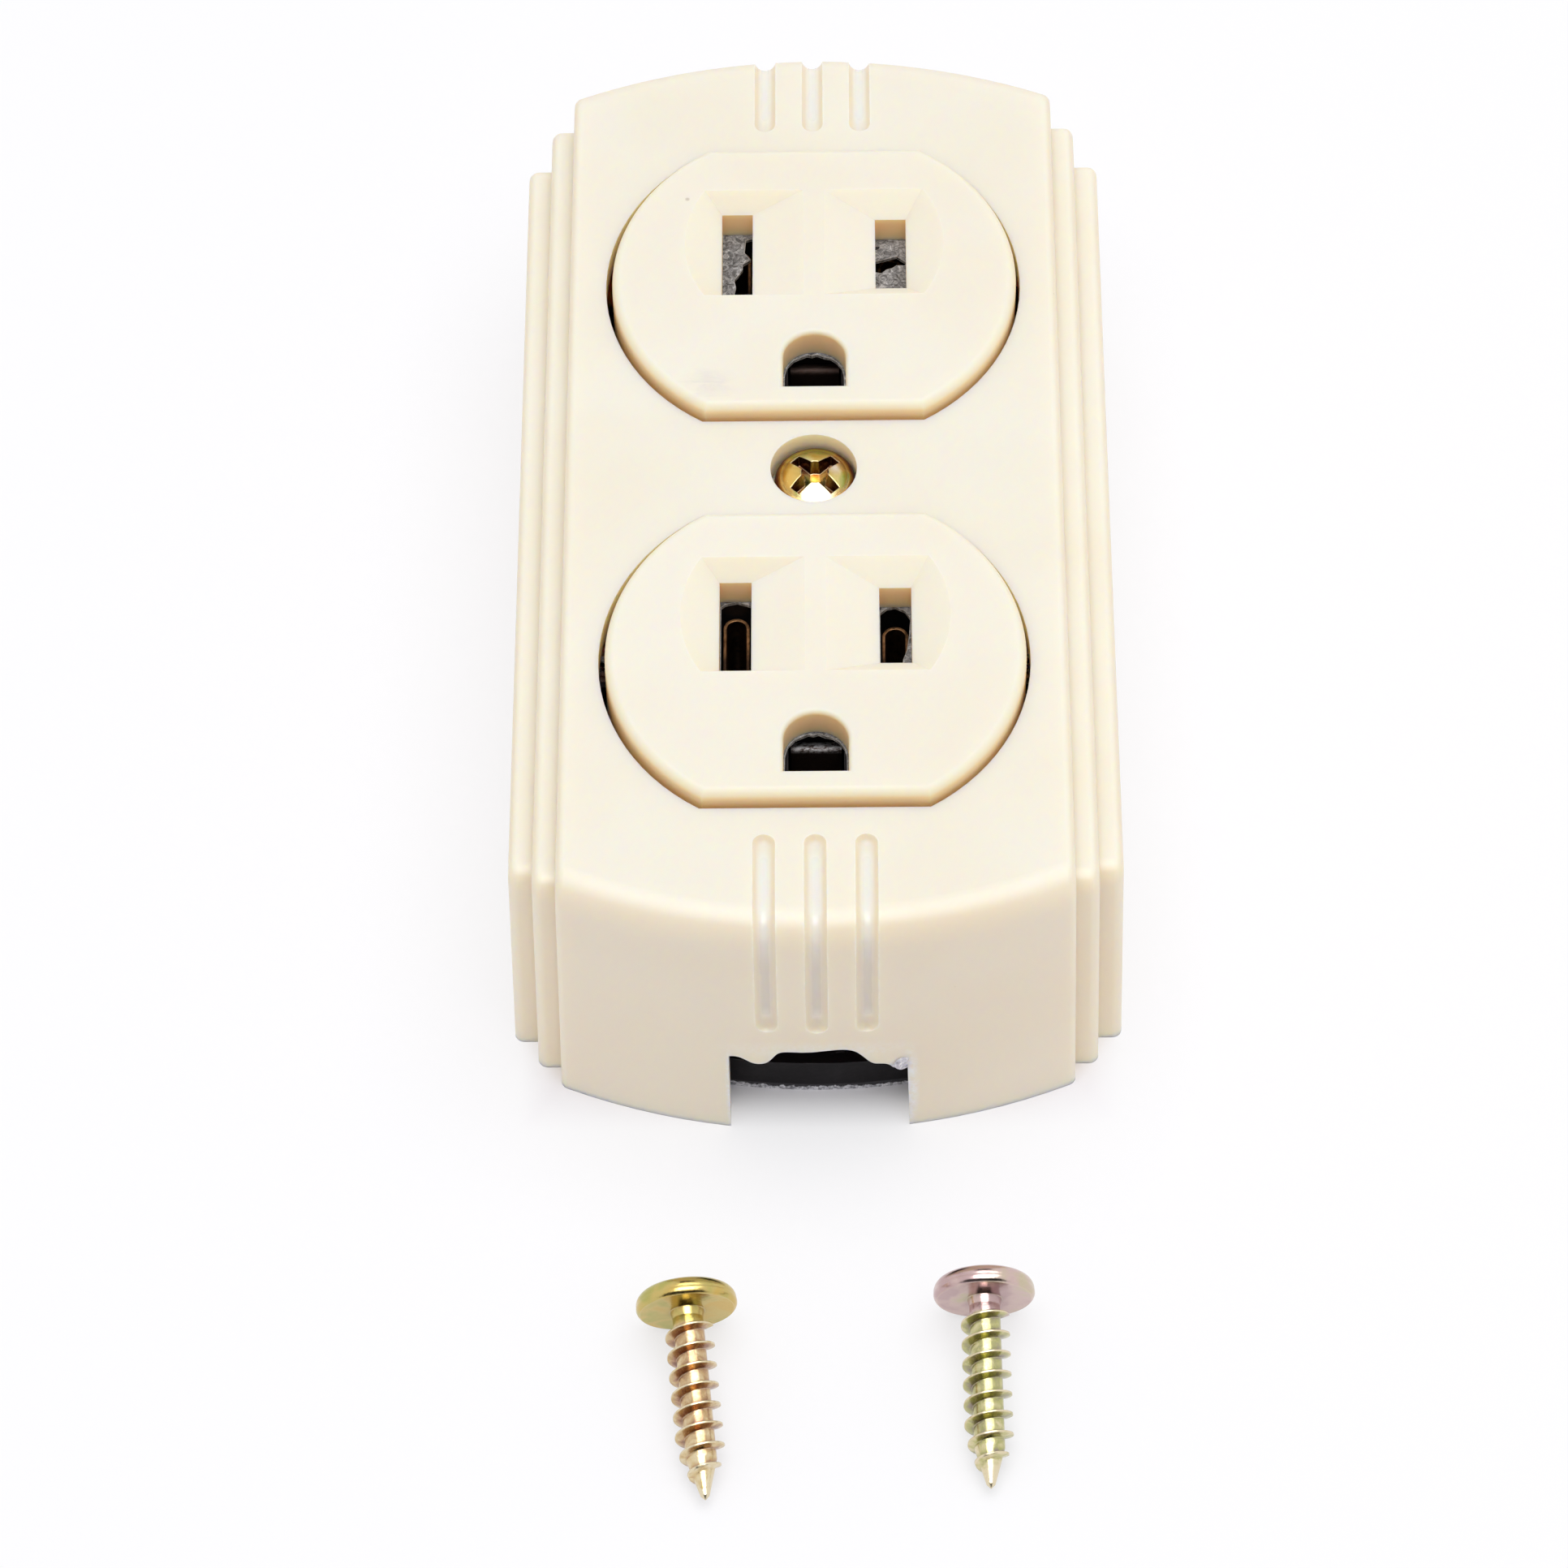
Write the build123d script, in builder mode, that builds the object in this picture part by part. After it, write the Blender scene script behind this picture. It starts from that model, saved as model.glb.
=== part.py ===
from build123d import *
import math
import os

# Surface-mounted duplex socket outlet with a lift-off cover.
# The outlet lies on its back: the wall plane is Z = 0, +Z points out of the wall, +Y is the far
# (upper) end and +X the right-hand side. The origin is the middle of the back. Units: mm, degrees.

os.makedirs("parts", exist_ok=True)

# --- Driving dimensions: cover -------------------------------------------------------------
draft = 1.2                      # wall draft of the moulded cover
core_width = 41.3                # middle, tallest level, at the wall plane
core_length = 92.7               # over the crown of its curved ends
core_height = 26.8
end_bow = 4.4                    # crown of a curved end, beyond its corners
mid_step_out = 1.9               # how far the middle level stands out at each side
mid_step_back = 1.85             # how far its ends stay behind the core's corners
mid_step_down = 2.4              # how far its top lies below the core's
low_step_out = 1.95              # the same three, from the middle level to the lowest
low_step_back = 2.5
low_step_down = 2.2
core_end_radius = 2.5            # rounding along the top edge of the curved ends
step_end_radius = 1.6
edge_radius = 0.8                # rounding along the sides and the upright corners
cover_wall = 2.0
cover_play = 0.1                 # the cover sits this far to the left of the face blocks

flute_width = 1.75               # finger grooves over both ends
flute_depth = 0.62
flute_pitch = 3.98
flute_count = 3
flute_inset = 9.0                # from the end of the cover to the groove's start on the top
flute_foot = 14.3                # height above the wall where a groove stops

opening_clearance = 0.42         # around each raised face
screw_recess_radius = 3.5        # counterbore of the cover screw
screw_recess_depth = 2.6
cover_boss_radius = 4.6
cover_boss_floor = 2.3           # material under the cover screw's head
cover_boss_gap = 0.3             # from the pillar down to the web it stands over

cable_entry_width = 14.0
cable_entry_height = 10.9
knockout_groove = 0.8            # width of the score line inside the far end

# --- Driving dimensions: receptacle --------------------------------------------------------
face_pitch = 38.9                # between the middles of the two outlets
face_radius = 16.65
face_half_flat = 14.08           # from a face's middle to its far and near flats
face_proud = 1.25                # above the cover
face_rim_radius = 0.8
face_roof = 3.6                  # plastic over the blade contacts
ground_roof = 2.6                # and over the ground contacts
front_wall = 2.0
web_width = 18.7                 # web that joins the two face blocks
web_overlap = 0.5                # how far it runs into each of them

blade_pitch = 12.7               # between the two blade slots
slot_line = 3.2                  # blade slots, above a face's middle
ground_line = 11.9               # ground hole, below the blade slots
slot_width = 2.54
neutral_slot_length = 8.8
hot_slot_length = 7.5
ground_hole_width = 5.1
ground_hole_skirt = 0.45         # its square end, beyond the half of its width
ground_lead_in = 0.4
recess_radius = 10.7             # funnel-shaped lead-in shared by the two slots
recess_half_height = 5.72
recess_shift = 0.45              # its middle, above the slot line
recess_depth = 1.1
recess_ridge = 1.7               # ridge left between its two halves

# --- Driving dimensions: base and contacts -------------------------------------------------
sheet_thickness = 0.8
plate_thickness = 3.0
plate_side_gap = 0.95            # inside of the cover's middle level to the plate
plate_corner_gap = 1.6
tail_side_gap = 1.05             # inside of the core to the plate's narrower tail
plate_end_gap = 1.9              # inside of the cover's curved end to the base's end
block_height = 14.0              # joint between base and receptacle front, above the wall
block_margin = 0.3               # base blocks stand this far outside the face blocks

bar_thickness = 0.8
bar_width = 5.2
bar_shift = 1.3                  # middle of a live bar, outwards from its blade slots
bar_level = 8.0                  # underside of the live bars, above the wall
strap_level = 5.0                # underside of the ground strap
strap_width = 4.4
trench_clearance = 0.2
blade_strip = 0.25               # thickness of the hairpins
ground_strip = 0.4               # and of the ground contacts
ground_leaf_width = 4.0
ground_bend = 0.3                # bend radius along the middle of the strip
blade_contact_drop = 2.1         # from the roof down to the hairpins' upper edge
ground_contact_drop = 2.2        # and to the ground leaves' rolled lips
neutral_hairpin_length = 8.7
hot_hairpin_length = 6.8
leaf_bow = 0.8                   # how far a leaf stands out below its throat
ground_lip_reach = 0.85          # and how far its rolled lip does
blade_throat = 1.6               # gap inside a hairpin
pin_throat = 4.2                 # gap between a pair of ground leaves
rivet_radius = 0.8
rivet_head_radius = 1.4
rivet_head_height = 0.6
well_clearance = 0.2             # between a contact and the black well around it
well_wall = 0.7
housing_floor = 1.2              # plate that joins the wells of one outlet
liner_thickness = 0.3            # thin grey liner over the wells, pierced by the first plug

terminal_inset = 2.8             # terminal screws, from the plate's side edge
terminal_y = 4.2                 # half the spacing of two screws on one side
ground_terminal_inset = 3.9      # ground terminal screw, from the plate's near edge
terminal_head_radius = 3.0
terminal_head_height = 2.4
terminal_crown = 0.24
terminal_shank_radius = 1.95
terminal_shank_length = 5.6
terminal_slot_width = 1.0
terminal_slot_depth = 1.0
terminal_slot_turn = 25          # heading of the slot
clamp_size = 6.4
clamp_thickness = 1.2
clamp_corner_radius = 0.8
barrier_thickness = 1.4
barrier_height = 7.4

insert_radius = 3.1
insert_length = 5.4
cover_thread_radius = 1.75
cover_screw_head_radius = 3.3
cover_screw_head_height = 2.2
cover_screw_crown = 0.72         # rise of the dome from its shoulder to its middle
cover_screw_tip = 0.3            # how far its tip comes through the nut

cover_cross_length = 4.9         # driver cross of the cover screw, over two arms
cover_cross_width = 1.25
mounting_cross_length = 4.2      # and of the mounting screws
mounting_cross_width = 1.0
cross_depth = 1.5
recess_turn = 45                 # heading of one pair of arms
recess_core = 0.95               # radius of the cross's middle, in arm widths
recess_taper = 10
recess_entry = 0.2               # how far the cutter starts above the head
head_floor = 0.5                 # metal left under a mounting screw's cross

assembly_inset = 3.65            # assembly screws, from the round side of a face block
assembly_head_radius = 2.3
assembly_head_height = 1.8
assembly_shank_radius = 1.45
assembly_boss_radius = 2.8
assembly_tip_gap = 3.85          # from the roof down to their tips

mount_side_inset = 3.8           # mounting holes, from the plate's side edge
mount_end_inset = 2.3            # and from the end edge of the plate's wide part
mount_hole_radius = 2.2

# --- Driving dimensions: loose mounting screws ---------------------------------------------
mounting_head_radius = 3.93
mounting_head_height = 1.8
mounting_crown = 0.18            # rise of the dome from its shoulder to its middle
mounting_length = 15.6
mounting_root_radius = 1.2
mounting_major_radius = 1.9
mounting_pitch = 1.65
mounting_tip_length = 3.3
mounting_tip_radius = 0.35
mounting_neck = 1.3              # plain shank under the head, before the thread
mounting_tip_turns = 1.6
thread_foot = 0.84               # thickness of the thread's ridge, below the shank's surface
thread_crest = 0.14              # and at its crest
thread_burial = 0.3              # how deep the ridge is rooted in the shank
mounting_seats = {               # where each one's head seat lies, and its heading
    "mounting_screw_left": (-10.35, -65.6, 5.5),
    "mounting_screw_right": (12.75, -64.7, 1.0),
}

# --- Fits ----------------------------------------------------------------------------------
running_fit = 0.05               # radial, round shanks in their holes
seat_gap = 0.05                  # between stacked flat pieces that can part
loose_fit = 0.2                  # radial, screws and rivets in holes that only clear them
end_room = 0.4                   # beyond the end of a screw, and beside a tongue
score_depth = 0.6                # how far the knock-out's score line is cut into the end wall

# --- Derived sizes and places --------------------------------------------------------------
core_corner_length = core_length - 2 * end_bow
mid_step_width = core_width + 2 * mid_step_out
mid_step_length = core_corner_length - 2 * mid_step_back
mid_step_height = core_height - mid_step_down
low_step_width = mid_step_width + 2 * low_step_out
low_step_length = mid_step_length - 2 * low_step_back
low_step_height = mid_step_height - low_step_down
plate_width = mid_step_width - 2 * (cover_wall + plate_side_gap)
plate_length = mid_step_length - 2 * (cover_wall + plate_corner_gap)
plate_tail_width = core_width - 2 * (cover_wall + tail_side_gap)
terminal_x = plate_width / 2 - terminal_inset
ground_terminal_x = -terminal_x
ground_terminal_y = ground_terminal_inset - plate_length / 2
mount_hole_x = plate_width / 2 - mount_side_inset
mount_hole_y = plate_length / 2 - mount_end_inset
face_centres = (face_pitch / 2, -face_pitch / 2)
face_top = core_height + face_proud
blade_roof_level = face_top - face_roof
ground_roof_level = face_top - ground_roof
plate_top = sheet_thickness + plate_thickness
slot_rows = [face_y + slot_line for face_y in face_centres]
ground_rows = [slot_y - ground_line for slot_y in slot_rows]
live_x = blade_pitch / 2
bar_x = live_x + bar_shift
rivet_x = bar_x + bar_width / 2 - rivet_head_radius
assembly_screw_x = face_radius - assembly_inset
assembly_screw_top = blade_roof_level - assembly_tip_gap
opening_radius = face_radius + opening_clearance
opening_half_flat = face_half_flat + opening_clearance
bar_trench_half_width = bar_width / 2 + trench_clearance
draft_slope = math.tan(math.radians(draft))
cover_plane = Plane.XY.offset(core_height)


# --- Shared outlines -----------------------------------------------------------------------
def curved_plan(length, corner_length, width):
    """Plan of a body with bowed ends; the ends are straight where both lengths agree."""
    half_width = width / 2
    corner = corner_length / 2
    with BuildSketch(mode=Mode.PRIVATE) as plan:
        with BuildLine():
            for end in (-1, 1):
                start = (end * half_width, end * corner)
                stop = (-end * half_width, end * corner)
                if length > corner_length:
                    ThreePointArc(start, (0, end * length / 2), stop)
                else:
                    Line(start, stop)
                Line(stop, (-end * half_width, -end * corner))
        make_face()
    return plan.sketch


def flatted_disc(radius, half_flat):
    """Round outline cut off straight at its far and near sides."""
    chord = math.sqrt(radius**2 - half_flat**2)
    with BuildSketch(mode=Mode.PRIVATE) as disc:
        with BuildLine():
            ThreePointArc((chord, half_flat), (radius, 0), (chord, -half_flat))
            Line((chord, -half_flat), (-chord, -half_flat))
            ThreePointArc((-chord, -half_flat), (-radius, 0), (-chord, half_flat))
            Line((-chord, half_flat), (chord, half_flat))
        make_face()
    return disc.sketch


def cover_level(length, corner_length, width, height):
    """Plain drafted block, one level of the cover or of its hollow."""
    with BuildPart() as level:
        with BuildSketch():
            add(curved_plan(length, corner_length, width))
        extrude(amount=height, taper=draft)
    return level.part


def rounded_level(length, corner_length, width, height, end_radius):
    """Level of the cover with rounded ends, sides and upright corners."""
    with BuildPart() as level:
        add(cover_level(length, corner_length, width, height))
        top_edges = level.faces().sort_by(Axis.Z)[-1].edges().sort_by(Axis.Y)
        fillet([top_edges[0], top_edges[-1]], radius=end_radius)
        for side in (0, -1):
            side_edges = level.faces().sort_by(Axis.X)[side].edges().sort_by(Axis.Z)
            fillet(side_edges[1:], radius=edge_radius)
    return level.part


# --- Cover ---------------------------------------------------------------------------------
core_end_arc = ((core_width / 2)**2 + ((core_length - core_corner_length) / 2)**2) / (
    core_length - core_corner_length)


def end_reach(x_offset, arc_radius, crown):
    """How far a bowed end reaches at a distance from the middle plane."""
    return crown - arc_radius + math.sqrt(arc_radius**2 - x_offset**2)


def flute_cutter(x_offset):
    """Round-bottomed groove that starts on the top, follows the end rounding and runs down."""
    groove_radius = (flute_width**2 / 4 + flute_depth**2) / (2 * flute_depth)
    lift = groove_radius - flute_depth
    reach = end_reach(x_offset, core_end_arc, core_length / 2)
    round_y = (reach - (core_height - core_end_radius) * draft_slope
               - core_end_radius / math.cos(math.radians(draft)))
    round_z = core_height - core_end_radius
    arc_radius = core_end_radius + lift
    wall_y = round_y + arc_radius * math.cos(math.radians(draft))
    wall_z = round_z + arc_radius * math.sin(math.radians(draft))
    foot_y = wall_y + (wall_z - flute_foot) * draft_slope
    middle = arc_radius * math.sqrt(0.5)
    with BuildPart() as cutter:
        with BuildLine(Plane.YZ.offset(x_offset)) as path:
            Line((core_length / 2 - flute_inset, core_height + lift), (round_y, core_height + lift))
            ThreePointArc((round_y, core_height + lift), (round_y + middle, round_z + middle),
                          (wall_y, wall_z))
            Line((wall_y, wall_z), (foot_y, flute_foot))
        with BuildSketch(Plane(origin=path.line @ 0, z_dir=path.line % 0)):
            Circle(groove_radius)
        sweep()
        with Locations(path.line @ 0, path.line @ 1):
            Sphere(groove_radius)
        mirror(about=Plane.XZ)
    return cutter.part


flute_cutters = [flute_cutter((i - (flute_count - 1) / 2) * flute_pitch) for i in range(flute_count)]
opening_outline = flatted_disc(opening_radius, opening_half_flat)
cover_levels = [
    (core_length, core_corner_length, core_width, core_height, core_end_radius),
    (mid_step_length, mid_step_length, mid_step_width, mid_step_height, step_end_radius),
    (low_step_length, low_step_length, low_step_width, low_step_height, step_end_radius),
]
cover_boss_bottom = core_height - screw_recess_depth - cover_boss_floor

with BuildPart() as cover_body:
    for length, corner_length, width, height, end_radius in cover_levels:
        add(rounded_level(length, corner_length, width, height, end_radius))
    for cutter in flute_cutters:
        add(cutter, mode=Mode.SUBTRACT)
    for length, corner_length, width, height, end_radius in cover_levels:
        add(cover_level(length - 2 * cover_wall, corner_length - 2 * cover_wall,
                        width - 2 * cover_wall, height - cover_wall), mode=Mode.SUBTRACT)
    # Screw pillar between the two openings.
    with BuildSketch(Plane.XY.offset(cover_boss_bottom)):
        Circle(cover_boss_radius)
    extrude(amount=core_height - cover_wall - cover_boss_bottom)
    for face_y in face_centres:
        with BuildSketch(cover_plane):
            with Locations((0, face_y)):
                add(opening_outline)
        extrude(amount=-2 * cover_wall, mode=Mode.SUBTRACT)
    with Locations((0, 0, core_height)):
        CounterBoreHole(cover_thread_radius + loose_fit, screw_recess_radius, screw_recess_depth)
    # Broken-out cable entry in the near end: its upper edge is torn, not straight.
    half_entry = cable_entry_width / 2
    with BuildSketch(Plane.XZ.offset(core_length / 2 - 2 * cover_wall)):
        with BuildLine():
            Spline((-half_entry, cable_entry_height - 1.2),
                   (-half_entry + 1.1, cable_entry_height - 1.3),
                   (-half_entry + 2.0, cable_entry_height - 1.85),
                   (-half_entry + 2.9, cable_entry_height - 1.7),
                   (-half_entry + 4.0, cable_entry_height - 0.25),
                   (-half_entry + 5.4, cable_entry_height - 0.1),
                   (-half_entry + 7.0, cable_entry_height),
                   (half_entry - 4.2, cable_entry_height),
                   (half_entry - 3.1, cable_entry_height - 1.3),
                   (half_entry - 2.5, cable_entry_height - 1.9),
                   (half_entry - 1.6, cable_entry_height - 2.1),
                   (half_entry - 0.6, cable_entry_height - 2.9),
                   (half_entry + 0.1, cable_entry_height - 2.5))
            Polyline((half_entry + 0.1, cable_entry_height - 2.5), (half_entry + 0.3, -1),
                     (-half_entry, -1), (-half_entry, cable_entry_height - 1.2))
        make_face()
    extrude(amount=2 * cover_wall + 1, mode=Mode.SUBTRACT)
    # Score line of the unused knock-out, inside the far end.
    score_height = cable_entry_height - 1
    with BuildSketch(Plane.XZ.offset(-core_length / 2 + cover_wall + score_depth)):
        Rectangle(cable_entry_width, 2 * score_height)
        Rectangle(cable_entry_width - 2 * knockout_groove, 2 * (score_height - knockout_groove),
                  mode=Mode.SUBTRACT)
    extrude(amount=-2 * score_depth, mode=Mode.SUBTRACT)

cover = Pos(-cover_play, 0, 0) * cover_body.part
cover.label = "cover"
export_step(cover, "parts/cover.step")


# --- Receptacle front: the two raised faces ------------------------------------------------
face_outline = flatted_disc(face_radius, face_half_flat)
face_hollow = flatted_disc(face_radius - front_wall, face_half_flat - front_wall)
web_length = 2 * (face_pitch / 2 - face_half_flat + web_overlap)
web_top = cover_boss_bottom - cover_boss_gap


def lead_in_outline(side):
    """Half of the shared recess: straight along the ridge, bowed on its outer side."""
    inner = recess_ridge / 2
    chord = math.sqrt(recess_radius**2 - recess_half_height**2)
    with BuildSketch(mode=Mode.PRIVATE) as half:
        with BuildLine():
            Line((side * inner, recess_half_height), (side * chord, recess_half_height))
            ThreePointArc((side * chord, recess_half_height), (side * recess_radius, 0),
                          (side * chord, -recess_half_height))
            Line((side * chord, -recess_half_height), (side * inner, -recess_half_height))
            Line((side * inner, -recess_half_height), (side * inner, recess_half_height))
        make_face()
    return half.sketch


def ground_outline():
    """Arched hole, round towards the slots and square towards the near side."""
    half = ground_hole_width / 2
    with BuildSketch(mode=Mode.PRIVATE) as hole:
        with BuildLine():
            ThreePointArc((-half, 0), (0, half), (half, 0))
            Polyline((half, 0), (half, -half - ground_hole_skirt),
                     (-half, -half - ground_hole_skirt), (-half, 0))
        make_face()
    return hole.sketch


slots = [(-1, neutral_slot_length), (1, hot_slot_length)]
lead_in_outlines = {side: lead_in_outline(side) for side, slot_length in slots}
ground_hole = ground_outline()
blade_well_width = blade_throat + 2 * (blade_strip + well_clearance)
blade_well_length = neutral_hairpin_length + 2 * well_clearance
ground_well_width = ground_leaf_width + 2 * well_clearance
ground_well_length = pin_throat + 2 * (ground_lip_reach + ground_strip + well_clearance)
blade_tower_size = (blade_well_width + 2 * well_wall, blade_well_length + 2 * well_wall)
ground_tower_size = (ground_well_width + 2 * well_wall, ground_well_length + 2 * well_wall)
ground_recess_size = [size + 2 * loose_fit for size in ground_tower_size]

with BuildPart() as receptacle_front:
    for face_y in face_centres:
        with BuildSketch(Plane.XY.offset(block_height)):
            with Locations((0, face_y)):
                add(face_outline)
        extrude(amount=face_top - block_height)
    fillet(receptacle_front.faces().filter_by_position(Axis.Z, face_top - 0.01, face_top + 0.01)
           .edges(), radius=face_rim_radius)
    with BuildSketch(Plane.XY.offset(block_height)):
        Rectangle(web_width, web_length)
    extrude(amount=web_top - block_height)
    for face_y in face_centres:
        with BuildSketch(Plane.XY.offset(block_height)):
            with Locations((0, face_y)):
                add(face_hollow)
        extrude(amount=blade_roof_level - block_height, mode=Mode.SUBTRACT)
    # Bosses for the assembly screws hang from the roof.
    for slot_y, ground_y, face_y in zip(slot_rows, ground_rows, face_centres):
        with BuildSketch(Plane.XY.offset(block_height)):
            with Locations((-assembly_screw_x, face_y), (assembly_screw_x, face_y)):
                Circle(assembly_boss_radius)
            with Locations((0, face_y)):
                add(face_outline, mode=Mode.INTERSECT)
        extrude(amount=blade_roof_level - block_height)
    for slot_y, ground_y, face_y in zip(slot_rows, ground_rows, face_centres):
        # The ground contact's well reaches higher than the others, and into the near wall.
        with BuildSketch(Plane.XY.offset(block_height)):
            with Locations((0, ground_y)):
                Rectangle(*ground_recess_size)
        extrude(amount=ground_roof_level - block_height, mode=Mode.SUBTRACT)
        with BuildSketch(Plane.XY.offset(block_height)):
            with Locations((-assembly_screw_x, face_y), (assembly_screw_x, face_y)):
                Circle(assembly_shank_radius + running_fit)
        extrude(amount=assembly_screw_top + end_room - block_height, mode=Mode.SUBTRACT)
        # Funnel-shaped recess down to each blade slot, then the slot through the roof.
        for side, slot_length in slots:
            with BuildSketch(Plane.XY.offset(face_top)):
                with Locations((0, slot_y + recess_shift)):
                    add(lead_in_outlines[side])
            with BuildSketch(Plane.XY.offset(face_top - recess_depth)):
                with Locations((side * live_x, slot_y)):
                    Rectangle(slot_width, slot_length)
            loft(ruled=True, mode=Mode.SUBTRACT)
            with BuildSketch(Plane.XY.offset(face_top)):
                with Locations((side * live_x, slot_y)):
                    Rectangle(slot_width, slot_length)
            extrude(amount=-face_roof - 0.5, mode=Mode.SUBTRACT)
        with BuildSketch(Plane.XY.offset(face_top)):
            with Locations((0, ground_y)):
                add(ground_hole)
        extrude(amount=-face_roof - 0.5, mode=Mode.SUBTRACT)
        hole_edges = (receptacle_front.edges()
                      .filter_by_position(Axis.Z, face_top - 0.01, face_top + 0.01)
                      .filter_by_position(Axis.X, -ground_hole_width / 2, ground_hole_width / 2)
                      .filter_by_position(Axis.Y, ground_y - ground_hole_width / 2
                                          - ground_hole_skirt - 0.01,
                                          ground_y + ground_hole_width / 2 + 0.01))
        fillet(hole_edges, radius=ground_lead_in)
    # Pocket of the threaded insert, open downwards, and the cover screw's way in.
    with BuildSketch(Plane.XY.offset(block_height)):
        Circle(insert_radius + running_fit)
    extrude(amount=insert_length + 2 * seat_gap, mode=Mode.SUBTRACT)
    with BuildSketch(Plane.XY.offset(block_height)):
        Circle(cover_thread_radius + loose_fit)
    extrude(amount=web_top - block_height, mode=Mode.SUBTRACT)

receptacle_front.part.label = "receptacle_front"
export_step(receptacle_front.part, "parts/receptacle_front.step")


# --- Threaded insert and cover screw -------------------------------------------------------
insert_bottom = block_height + seat_gap

with BuildPart() as cover_nut:
    with BuildSketch(Plane.XY.offset(insert_bottom)):
        Circle(insert_radius)
        Circle(cover_thread_radius + running_fit, mode=Mode.SUBTRACT)
    extrude(amount=insert_length)
cover_nut.part.label = "cover_nut"
export_step(cover_nut.part, "parts/cover_nut.step")


def cross_recess(length, width, depth):
    """Tapering cross-shaped driver recess with a flared middle, cut downwards from Z = 0."""
    with BuildPart() as cutter:
        with BuildSketch(Plane.XY.offset(recess_entry)):
            for arm_turn in (recess_turn, recess_turn + 90):
                Rectangle(length, width, rotation=arm_turn)
            Circle(recess_core * width)
        extrude(amount=-depth - recess_entry, taper=recess_taper)
    return cutter.part


def domed_head(radius, height, crown):
    """Pan head: flat seat at Z = 0, rounded rim, and a domed top of the given crown."""
    seat_radius = 0.94 * radius
    shoulder = 0.8 * radius
    shoulder_level = height - crown
    rim = 0.36 * height
    with BuildPart() as head:
        with BuildSketch(Plane.XZ):
            with BuildLine():
                Line((0, 0), (seat_radius, 0))
                ThreePointArc((seat_radius, 0), (0.99 * radius, 0.12 * height), (radius, rim))
                ThreePointArc((radius, rim), (0.94 * radius, 0.3 * rim + 0.7 * shoulder_level),
                              (shoulder, shoulder_level))
                ThreePointArc((shoulder, shoulder_level), (shoulder / 2, height - crown / 4),
                              (0, height))
                Line((0, height), (0, 0))
            make_face()
        revolve(axis=Axis.Z)
    return head.part


cover_screw_seat = core_height - screw_recess_depth + seat_gap
cover_screw_length = cover_screw_seat - insert_bottom + cover_screw_tip
cover_screw_cross = cross_recess(cover_cross_length, cover_cross_width, cross_depth)

with BuildPart() as cover_screw:
    add(Pos(0, 0, cover_screw_seat) * domed_head(cover_screw_head_radius, cover_screw_head_height,
                                               cover_screw_crown))
    with BuildSketch(Plane.XY.offset(cover_screw_seat - cover_screw_length)):
        Circle(cover_thread_radius)
    extrude(amount=cover_screw_length)
    add(Pos(0, 0, cover_screw_seat + cover_screw_head_height) * cover_screw_cross,
        mode=Mode.SUBTRACT)
cover_screw.part.label = "cover_screw"
export_step(cover_screw.part, "parts/cover_screw.step")


# --- Base and insulating sheet -------------------------------------------------------------
base_end_arc = core_end_arc - cover_wall - plate_end_gap
base_crown = core_length / 2 - cover_wall - plate_end_gap
tail_corner = end_reach(plate_tail_width / 2, base_end_arc, base_crown)
base_tail = curved_plan(2 * base_crown, 2 * tail_corner, plate_tail_width)
mount_holes = [(-mount_hole_x, mount_hole_y), (mount_hole_x, -mount_hole_y)]
assembly_holes = [(side * assembly_screw_x, face_y) for face_y in face_centres for side in (-1, 1)]
live_terminals = [(side * terminal_x, end * terminal_y) for side in (-1, 1) for end in (1, -1)]
terminals = live_terminals + [(ground_terminal_x, ground_terminal_y)]
tongue_half_length = terminal_y + clamp_size / 2 + end_room
tongue_end = terminal_x + clamp_size / 2
bar_ends = (slot_rows[0] + neutral_hairpin_length / 2, slot_rows[1] - neutral_hairpin_length / 2)
strap_overhang = pin_throat / 2 + ground_strip + leaf_bow + loose_fit
live_rivets = [(side * rivet_x, slot_y) for slot_y in slot_rows for side in (-1, 1)]
ground_rivets = [(0, ground_y) for ground_y in ground_rows]
strap_ends = (ground_rows[0] + strap_overhang, ground_rows[1] - strap_overhang)
base_disc = flatted_disc(face_radius + block_margin, face_half_flat + block_margin)
rivet_recess_radius = rivet_head_radius + loose_fit

with BuildPart() as insulating_sheet:
    with BuildSketch():
        add(base_tail)
        Rectangle(plate_width, plate_length)
        with Locations(*mount_holes):
            Circle(mount_hole_radius, mode=Mode.SUBTRACT)
    extrude(amount=sheet_thickness)
insulating_sheet.part.label = "insulating_sheet"
export_step(insulating_sheet.part, "parts/insulating_sheet.step")


# Trenches, as width, length, centre and floor level: the live bars, the tongues that reach
# their terminals, the ground strap and its branch.
bar_middle = (bar_ends[0] + bar_ends[1]) / 2
strap_middle = (strap_ends[0] + strap_ends[1]) / 2
bar_trench_length = bar_ends[0] - bar_ends[1] + 2 * trench_clearance
strap_trench_length = strap_ends[0] - strap_ends[1] + 2 * trench_clearance
strap_trench_width = strap_width + 2 * trench_clearance
tongue_trench_width = 2 * (tongue_half_length + trench_clearance)
tongue_reach = tongue_end + end_room
branch_reach = clamp_size / 2 - ground_terminal_x
branch_near = ground_terminal_y - clamp_size / 2
branch_far = ground_rows[1] + strap_width / 2
trenches = [
    (strap_trench_width, strap_trench_length, (0, strap_middle), strap_level),
    (branch_reach, strap_trench_width, (-branch_reach / 2, ground_rows[1]), strap_level),
]
for side in (-1, 1):
    trenches += [
        (2 * bar_trench_half_width, bar_trench_length, (side * bar_x, bar_middle), bar_level),
        (tongue_reach - live_x, tongue_trench_width, (side * (live_x + tongue_reach) / 2, 0),
         bar_level),
    ]


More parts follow.
